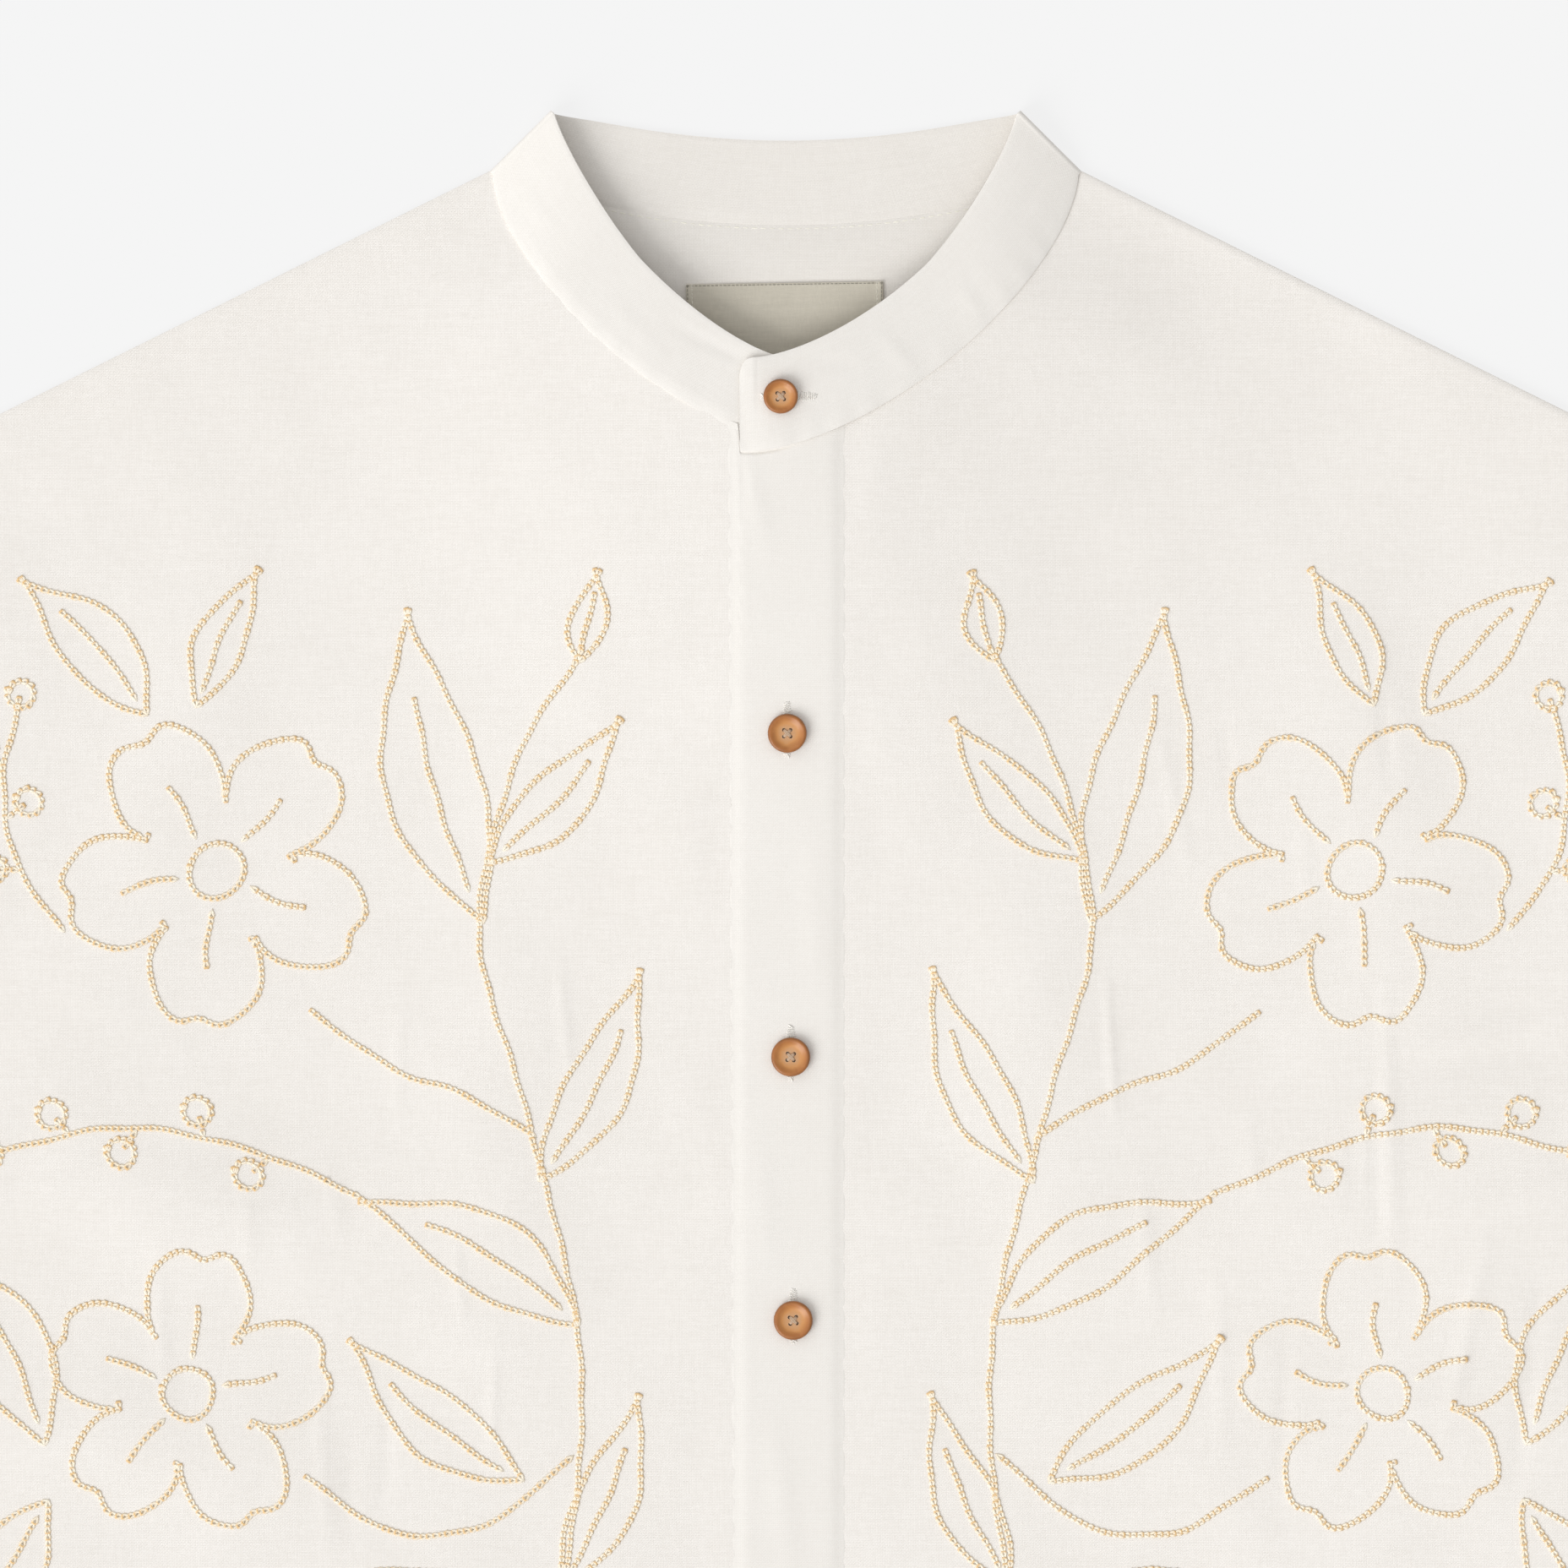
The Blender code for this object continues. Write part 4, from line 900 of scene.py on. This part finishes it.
for word, side, cloth in both_fronts:
    hem_line = [(side * x, HEM_Y + HEM_TURN) for x in np.linspace(0.022, HEM_HALF - 0.003, 60)]
    arm_share = np.linspace(0.03, 0.985, 60)
    arm_y = shoulder_y(SHOULDER_X) - UNDERARM_DROP * arm_share
    arm_line = np.column_stack([side * (armhole_x(arm_share) - ARM_SEAM_IN), arm_y])
    sew(f"topstitch_{word}", [hem_line, arm_line], cloth, thread_white, "linen", **plainly)
for word, side, cloth in (("left", -1, sleeve_left), ("right", 1, sleeve_right)):
    cuff_line = sleeve_plan(1 - CUFF_HEM / SLEEVE_LENGTH, np.linspace(0.03, 0.97, 50))
    sew(f"cuff_stitch_{word}", [np.column_stack(cuff_line) * (side, 1)], cloth, thread_white, "linen", **plainly)

label_run = np.linspace(0.0006, LABEL_WIDE - 0.0006, 40)
label_fall = np.linspace(0.0006, LABEL_TALL - 0.0006, 20)
label_lines = [[label_point(a, d) for a in label_run] for d in (LABEL_EDGE, LABEL_TALL - LABEL_EDGE)]
label_lines += [[label_point(a, d) for d in label_fall] for a in (LABEL_EDGE, LABEL_WIDE - LABEL_EDGE)]
label_inner = [[label_point(a, d) for d in label_fall] for a in (LABEL_FOLD, LABEL_WIDE - LABEL_FOLD)]
sew("label_stitch", label_lines, label, thread_grey, "label_weave", **finely)
sew("label_fold_stitch", label_inner, label, thread_cream, "label_weave", **finely)
neck_line = np.column_stack(back_seam(np.linspace(0, 0.97, 60))) - (0, NECK_STITCH_DOWN)
neck_line = np.concatenate([neck_line[:0:-1] * (-1, 1), neck_line])
sew("back_neck_stitch", [neck_line], back, thread_cream, "linen", **plainly, lift=NECK_STITCH_SUNK)
put_away(lockstitch, fine_stitch)

# Embroidery. Chain stitch in a two-tone cream and ochre thread, worked by machine along drawn lines: a
# climbing stem with long veined leaves, five-petal blossoms and berry sprigs, the same on both fronts.
CHAIN_PITCH, CHAIN_LENGTH, CHAIN_WIDE, CHAIN_THREAD, CHAIN_LIFT = 0.00200, 0.00255, 0.00138, 0.00046, 0.00010
CREAM, OCHRE = (1.0, 0.93, 0.79), (0.84, 0.58, 0.29)
STEMS = (
    # each a smooth line through these points, in mm
    ((62, -362), (84, -292), (99, -220), (90, -150), (70, -84))
    + ((66, -14), (83, 60), (98, 118), (86, 172), (66, 206)),
    ((80, 52), (104, 66), (126, 74), (150, 91)),
    ((68, -50), (96, -72), (126, -74), (152, -58)),
    ((96, -168), (112, -168), (126, -180)),
    ((136, 33), (172, 48), (212, 55), (252, 47)),
    ((231, 118), (246, 140), (250, 166), (245, 190)),
    ((222, -222), (250, -206), (266, -178), (268, -150)),
    ((90, -286), (118, -306), (150, -316), (170, -312)),
)
LEAVES = (
    # base x, base y, tip x, tip y, width, bend, in mm
    (97, 121, 121, 219, 31, -5),
    (95, 140, 54, 184, 19, 3),
    (79, 38, 47, 104, 20, 4),
    (66, -8, 134, 31, 25, 5),
    (72, -92, 47, -32, 19, 3),
    (84, -58, 138, -14, 21, -4),
    (188, 190, 169, 232, 16, -2),
    (204, 187, 243, 229, 22, 3),
    (237, -46, 268, 15, 25, 4),
    (236, -64, 272, -112, 22, -3),
    (80, -116, 144, -88, 22, 4),
    (97, -204, 58, -146, 21, 3),
    (92, -262, 52, -222, 19, 3),
    (78, -318, 48, -262, 18, 3),
    (74, -330, 140, -352, 22, -4),
    (172, -140, 206, -104, 22, 4),
    (66, 204, 60, 231, 12, 0),
)
BLOSSOMS = (
    # centre x, centre y, radius, first petal in degrees, in mm
    (182, 137, 51, 96),
    (191, -30, 47, 60),
    (172, -196, 50, 84),
    (214, -312, 46, 70),
)
SPRIGS = (
    # stem number, berry radius in mm, fractions of the stem with a berry on alternate sides
    (4, 4.3, (0.26, 0.44, 0.62, 0.80, 0.985)),
    (5, 4.0, (0.30, 0.52, 0.74, 0.985)),
    (6, 4.0, (0.30, 0.52, 0.74, 0.985)),
)


def smooth_line(points, steps=14):
    """A line in even bends through all the points."""
    points = np.asarray(points, float)
    ends = np.concatenate([[2 * points[0] - points[1]], points, [2 * points[-1] - points[-2]]])
    t = np.linspace(0, 1, steps, endpoint=False)[:, None]
    parts = []
    for a, b, c, d in zip(ends, ends[1:], ends[2:], ends[3:]):
        straight = 2 * b + (c - a) * t
        parts.append(0.5 * (straight + (2 * a - 5 * b + 4 * c - d) * t**2 + (3 * b - a - 3 * c + d) * t**3))
    return np.concatenate([*parts, points[-1:]])


def leaf_lines(base_x, base_y, tip_x, tip_y, width, bend):
    """A pointed leaf outline and its middle vein."""
    base, tip = np.array([base_x, base_y]), np.array([tip_x, tip_y])
    run = tip - base
    aside = np.array([-run[1], run[0]]) / np.linalg.norm(run)
    t = np.linspace(0, 1, 40)[:, None]
    middle = base + run * t + aside * bend * np.sin(np.pi * t)
    belly = aside * width / 2 * np.sin(np.pi * t**0.85) ** 1.15
    vein = middle[(t[:, 0] > 0.10) & (t[:, 0] < 0.72)]
    return [middle + belly, middle - belly, vein]


def blossom_lines(x, y, radius, first):
    """Five petals with a dip in each rim, round a small ring with short lines in the petals."""
    turn = np.linspace(0, 2 * np.pi, 241)
    part = (turn * 5 / (2 * np.pi)) % 1
    dip = 0.075 * np.exp(-(((part - 0.5) / 0.085) ** 2))
    out = radius * (0.47 + 0.53 * np.sin(np.pi * part) ** 0.62 - dip)
    angle = turn + math.radians(first)
    lines = [np.column_stack([x + out * np.cos(angle), y + out * np.sin(angle)])]
    ring = radius * 0.17
    lines.append(np.column_stack([x + ring * np.cos(turn[::8]), y + ring * np.sin(turn[::8])]))
    for petal in range(5):
        heading = math.radians(first + 72 * petal + 36)
        reach = radius * np.linspace(0.25, 0.56, 8)
        sway = 0.04 * np.sin(np.linspace(0, np.pi, 8))
        lines.append(np.column_stack([x + reach * np.cos(heading + sway), y + reach * np.sin(heading + sway)]))
    return lines


def sprig_lines(stem, radius, places):
    """Round berries on short stalks along a stem, left and right in turn, with one at its end."""
    line = smooth_line(STEMS[stem])
    lines = []
    turn = np.linspace(0, 2 * np.pi, 25)
    for number, place in enumerate(places):
        spot = along(line, [place])[0]
        ahead = along(line, [min(place + 0.01, 1)])[0] - along(line, [place - 0.01])[0]
        ahead /= np.linalg.norm(ahead)
        aside = np.array([-ahead[1], ahead[0]]) * (1 if number % 2 else -1)
        last = place > 0.98
        stalk = ahead * (radius + 0.5) if last else (ahead * 0.6 + aside) * (radius + 5.0) * 0.86
        centre = spot + stalk
        if not last:
            lines.append(spot + stalk * np.linspace(0.1, 1 - radius / np.linalg.norm(stalk), 5)[:, None])
        lines.append(np.column_stack([centre[0] + radius * np.cos(turn), centre[1] + radius * np.sin(turn)]))
    return lines


def chain_stitch():
    """One link of the chain: a loop that opens towards its head, cream with an ochre turn in its head, and a
    little ochre along the inner side of its thread as painted shade.
    """
    half = np.array([(0.22, 0.52), (0.56, 0.98), (0.84, 0.66)])
    forward, aside = np.concatenate([[(-0.15, 0.0)], half, half[::-1] * (1, -1), [(-0.15, 0.0)]]).T
    height = 0.00022 * np.clip(forward, 0, 1) - 0.00004
    path = np.column_stack([forward * CHAIN_LENGTH, aside * CHAIN_WIDE / 2, height])
    points, faces, inner = tube(path, CHAIN_THREAD, CHAIN_THREAD * 0.8, 4)
    head = ease((points[:, 0] / CHAIN_LENGTH - 0.50) / 0.30)
    return stitch_shape("chain_link", points, faces, np.maximum(head, inner * 0.2))


def two_tone_thread():
    material, tree, shader = new_finish("thread_two_tone", roughness=0.6, specular=0.3, sheen=0.1)
    varied = maths(tree, "MULTIPLY_ADD", marked(tree, "tone"), 0.30, -0.15)
    # The marked share is the thread's own ochre in the heads, plus painted shade along the inner side of each
    # link.
    share = maths(tree, "ADD", marked(tree, "ochre_and_shade"), varied, use_clamp=True)
    tree.links.new(mixed(tree, share, (*CREAM, 1), (*OCHRE, 1), "RGBA"), shader["Base Color"])
    return material


drawn = [smooth_line(stem) for stem in STEMS]
for leaf in LEAVES:
    drawn += leaf_lines(*leaf)
for blossom in BLOSSOMS:
    drawn += blossom_lines(*blossom)
for sprig in SPRIGS:
    drawn += sprig_lines(*sprig)
thread_two_tone = two_tone_thread()
chain_link = chain_stitch()
chained = {"stitch": chain_link, "pitch": CHAIN_PITCH, "unevenness": 0.16, "lift": CHAIN_LIFT}
for word, side, cloth in both_fronts:
    hand = []
    for line in drawn:
        sway = np.column_stack([np.sin(line[:, 1] * 0.31 + side), np.sin(line[:, 0] * 0.27 + 2 * side)])
        hand.append((line + 0.35 * sway) * (side, 1) / 1000)
    sew(f"embroidery_{word}", hand, cloth, thread_two_tone, "linen", **chained)
put_away(chain_link)

# Buttonholes. Worked slits, upright down the placket and level in the collar, edged with close stitches
# that show a little past each button.
HOLE_LONG, HOLE_WIDE, PURL_PITCH, PURL_RADIUS = 0.0170, 0.0014, 0.00062, 0.00020
BUTTONS = (
    # node, across, x, y, hole's shift, upright hole, turn
    ("button_collar", 0.0111, -0.0016, 0.2885, 0.0026, False, 0.05),
    ("button_1", 0.0125, 0.0005, 0.1810, 0.0012, True, 0.0),
    ("button_2", 0.0125, 0.0016, 0.0776, 0.0012, True, -0.06),
    ("button_3", 0.0125, 0.0024, -0.0066, 0.0012, True, 0.1),
    ("button_4", 0.0125, 0.0026, -0.1010, 0.0012, True, 0.1),
    ("button_5", 0.0125, 0.0026, -0.1950, 0.0012, True, 0.1),
    ("button_6", 0.0125, 0.0026, -0.2890, 0.0012, True, 0.1),
)


def purl_stitch():
    """One close stitch across a buttonhole's edge."""
    share = np.linspace(-1, 1, 5)
    path = np.column_stack([share * 0.00010, share * 0.00075, (1 - share**2) * 0.00030 - 0.00008])
    points, faces, inner = tube(path, PURL_RADIUS, PURL_RADIUS, 5)
    return stitch_shape("purl_stitch", points, faces, inner * 0)


def hole_outlines(upright_ones):
    """Long loops round the slits, each centred near its button."""
    turns = np.linspace(0, 2 * np.pi, 41)
    long_way = np.sign(np.cos(turns)) * np.abs(np.cos(turns)) ** 0.5 * HOLE_LONG / 2
    short_way = np.sin(turns) * HOLE_WIDE / 2
    outlines = []
    for _, _, x, y, shift, upright, _ in BUTTONS:
        if upright and upright_ones:
            outlines.append(np.column_stack([x + short_way, y + shift + long_way]))
        elif not upright and not upright_ones:
            outlines.append(np.column_stack([x + shift + long_way, y + short_way]))
    return outlines


purl = purl_stitch()
thread_hole = thread_finish("thread_hole", THREAD_COLOUR)
closely = {"stitch": purl, "pitch": PURL_PITCH, "unevenness": 0.5}
sew("buttonholes_front", hole_outlines(True), placket, thread_hole, "dense_linen", **closely)
sew("buttonhole_collar", hole_outlines(False), band, thread_hole, "dense_linen", **closely)
put_away(purl)

# Buttons. Turned from amber horn with a raised rim round a dished centre, four drilled holes, and a cross
# of beige thread through them.
BUTTON_THICK, BUTTON_SIDES, BUTTON_LIFT = 0.0026, 72, 0.0002
HOLE_SPREAD, HOLE_RADIUS, STRAND_RADIUS, STRAND_APART = 0.00150, 0.00058, 0.00017, 0.00032
RIM_DARK, RING = (0.27, 0.095, 0.020), (0.43, 0.155, 0.036)
FACE, CENTRE = (0.62, 0.280, 0.086), (0.60, 0.345, 0.176)
BEIGE = (0.60, 0.44, 0.31)
BUTTON_SECTION = (
    # share of the radius, share of the thickness, tone from centre to rim
    (0.20, 0.60, 0.06),
    (0.38, 0.61, 0.20),
    (0.52, 0.65, 0.36),
    (0.63, 0.73, 0.52),
    (0.72, 0.86, 0.64),
    (0.80, 0.965, 0.74),
    (0.865, 1.00, 0.82),
    (0.92, 0.975, 0.90),
    (0.965, 0.89, 0.95),
    (0.99, 0.76, 1.00),
    (1.00, 0.60, 1.00),
    (0.985, 0.42, 1.00),
    (0.93, 0.20, 1.00),
    (0.80, 0.05, 0.90),
    (0.55, 0.00, 0.80),
)


def horn_finish():
    material, tree, shader = new_finish("amber_horn", roughness=0.42, specular=0.5, sheen=0.0)
    shader["Coat Weight"].default_value = 0.12
    shader["Coat Roughness"].default_value = 0.30
    place = add_node(tree, "ShaderNodeTexCoord").outputs["Object"]
    cloud = noise(tree, place, 190.0, detail=4.0, roughness=0.55, distortion=1.4, space="3D")
    tone = maths(tree, "MULTIPLY_ADD", maths(tree, "SUBTRACT", cloud, 0.5), 0.45, marked(tree, "tone"))
    colours = add_node(tree, "ShaderNodeValToRGB", {0: tone})
    ramp = colours.color_ramp
    ramp.elements[0].position, ramp.elements[0].color = 0.05, (*CENTRE, 1)
    ramp.elements[1].position, ramp.elements[1].color = 1.0, (*RIM_DARK, 1)
    for position, colour in ((0.40, FACE), (0.76, RING)):
        ramp.elements.new(position).color = (*colour, 1)
    tree.links.new(colours.outputs[0], shader["Base Color"])
    rough = add_node(tree, "ShaderNodeMapRange", {"Value": cloud, "To Min": 0.26, "To Max": 0.42})
    tree.links.new(rough.outputs[0], shader["Roughness"])
    add_bump(tree, shader, cloud, strength=0.15, distance=0.0002)
    return material


def turned_button(name, across):
    """Button mesh about its own centre: the section turned round, then drilled."""
    points, tones = [], []
    for out, up, tone in BUTTON_SECTION:
        for side in range(BUTTON_SIDES):
            angle = 2 * math.pi * side / BUTTON_SIDES
            reach = out * across / 2
            points.append((reach * math.cos(angle), reach * math.sin(angle), up * BUTTON_THICK))
            tones.append(tone)
    faces = [(a, d, c, b) for a, b, c, d in ring_faces(len(BUTTON_SECTION), BUTTON_SIDES, False)]
    faces.append(tuple(range(BUTTON_SIDES)))
    faces.append(tuple(range(len(points) - 1, len(points) - BUTTON_SIDES - 1, -1)))
    mesh = bpy.data.meshes.new(name)
    mesh.from_pydata(points, [], faces)
    mark(mesh, "tone", tones)
    button = new_object(name, mesh)
    drills = []
    for spot in range(4):
        angle = math.pi / 4 + math.pi / 2 * spot
        hole = (HOLE_SPREAD * math.cos(angle), HOLE_SPREAD * math.sin(angle), 0)
        bpy.ops.mesh.primitive_cylinder_add(vertices=20, radius=HOLE_RADIUS, depth=0.02, location=hole)
        drills.append(bpy.context.object)
        cut = button.modifiers.new("drill", "BOOLEAN")
        cut.solver = "EXACT"
        cut.object = drills[-1]
    settled(button, math.radians(38))
    put_away(*drills)
    return button


def thread_cross(name, x, y, z):
    """Two bundles of thread that cross between the four holes and go down into them."""
    points, faces, inner = [], [], []
    share = np.linspace(-1, 1, 13)
    long_way = share * (HOLE_SPREAD * 1.12)
    for bundle in range(2):
        cos, sin = math.cos(math.pi / 4 + math.pi / 2 * bundle), math.sin(math.pi / 4 + math.pi / 2 * bundle)
        height = z + 0.00022 + 0.00016 * bundle * (1 - share**2) - 0.0012 * np.abs(share) ** 7
        for strand in (-1, 0, 1):
            aside = strand * STRAND_APART * (1 - 0.35 * share**2)
            path = [x + long_way * cos - aside * sin, y + long_way * sin + aside * cos, height]
            ring, sides, marks = tube(np.column_stack(path), STRAND_RADIUS, STRAND_RADIUS, 8)
            faces += [tuple(len(points) + corner for corner in face) for face in sides]
            points += list(ring)
            inner += list(marks)
    cross = stitch_shape(name, points, faces, inner)
    mark(cross.data, "tone", np.full(len(points), 0.5))
    return cross


horn = horn_finish()
thread_beige = thread_finish("thread_beige", BEIGE)
bpy.context.view_layer.update()
for node, across, x, y, _, upright, turn in BUTTONS:
    heights = []
    for angle in np.linspace(0, 2 * math.pi, 12, endpoint=False):
        start = Vector((x + across / 2 * math.cos(angle), y + across / 2 * math.sin(angle), 0.05))
        _, spot, *_ = (placket if upright else band).ray_cast(start, Vector((0, 0, -1)))
        heights.append(spot.z)
    rest = max(heights) + BUTTON_LIFT
    button = turned_button(f"{node}_turned", across)
    for vertex in button.data.vertices:
        px, py, pz = vertex.co
        cos, sin = math.cos(turn), math.sin(turn)
        vertex.co = (x + px * cos - py * sin, y + px * sin + py * cos, rest + pz)
    place_on(button, horn, "horn", node)
    cross = thread_cross(f"{node}_thread", x, y, rest + 0.60 * BUTTON_THICK)
    cross.data.materials.append(thread_beige)
    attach(cross, "root")

# Floor, light and camera. A plain floor with a pale glow of its own that thins out shadows, a soft light from
# the lower left and a very broad one from the left, even light all round, and a long lens straight above.
FLOOR_Z, FLOOR_GREY, FLOOR_GLOW, ROOM_LIGHT = -0.0001, 0.12, 0.791, 0.507
floor_mesh = bpy.data.meshes.new("floor")
floor_corners = [(x, y, FLOOR_Z) for x, y in ((-30, -30), (30, -30), (30, 30), (-30, 30))]
floor_mesh.from_pydata(floor_corners, [], [(0, 1, 2, 3)])
floor = new_object("floor", floor_mesh)
floor_paint, _, floor_shader = new_finish("floor_paint", roughness=1.0, specular=0.0, sheen=0.0)
floor_shader["Base Color"].default_value = (FLOOR_GREY, FLOOR_GREY, FLOOR_GREY, 1)
floor_shader["Emission Color"].default_value = (1, 1, 1, 1)
floor_shader["Emission Strength"].default_value = FLOOR_GLOW
floor_mesh.materials.append(floor_paint)

world = bpy.data.worlds.new("soft_room")
world.use_nodes = True
room = world.node_tree.nodes["Background"].inputs
room["Color"].default_value = (1, 1, 1, 1)
room["Strength"].default_value = ROOM_LIGHT
bpy.context.scene.world = world
for name, strength, angle, heading in (
    ("soft_light", 1.486, 40, (0.552, 0.531, -0.643)),
    ("broad_light", 0.83, 110, (0.640, 0.060, -0.766)),
):
    light = bpy.data.lights.new(name, "SUN")
    light.energy = strength
    light.angle = math.radians(angle)
    lamp = new_object(name, light)
    lamp.rotation_mode = "QUATERNION"
    lamp.rotation_quaternion = Vector(heading).to_track_quat("-Z", "Y")

LENS, SENSOR, SEEN_WIDTH, FOCUS_Z = 500.0, 36.0, 0.50112, 0.004
camera_data = bpy.data.cameras.new("camera")
camera_data.lens = LENS
camera_data.sensor_width = SENSOR
camera_data.clip_end = 100
camera = new_object("camera", camera_data)
camera.location = (-0.00054, 0.16481, FOCUS_Z + SEEN_WIDTH * LENS / SENSOR)
bpy.context.scene.camera = camera
bpy.context.scene.view_settings.view_transform = "Standard"
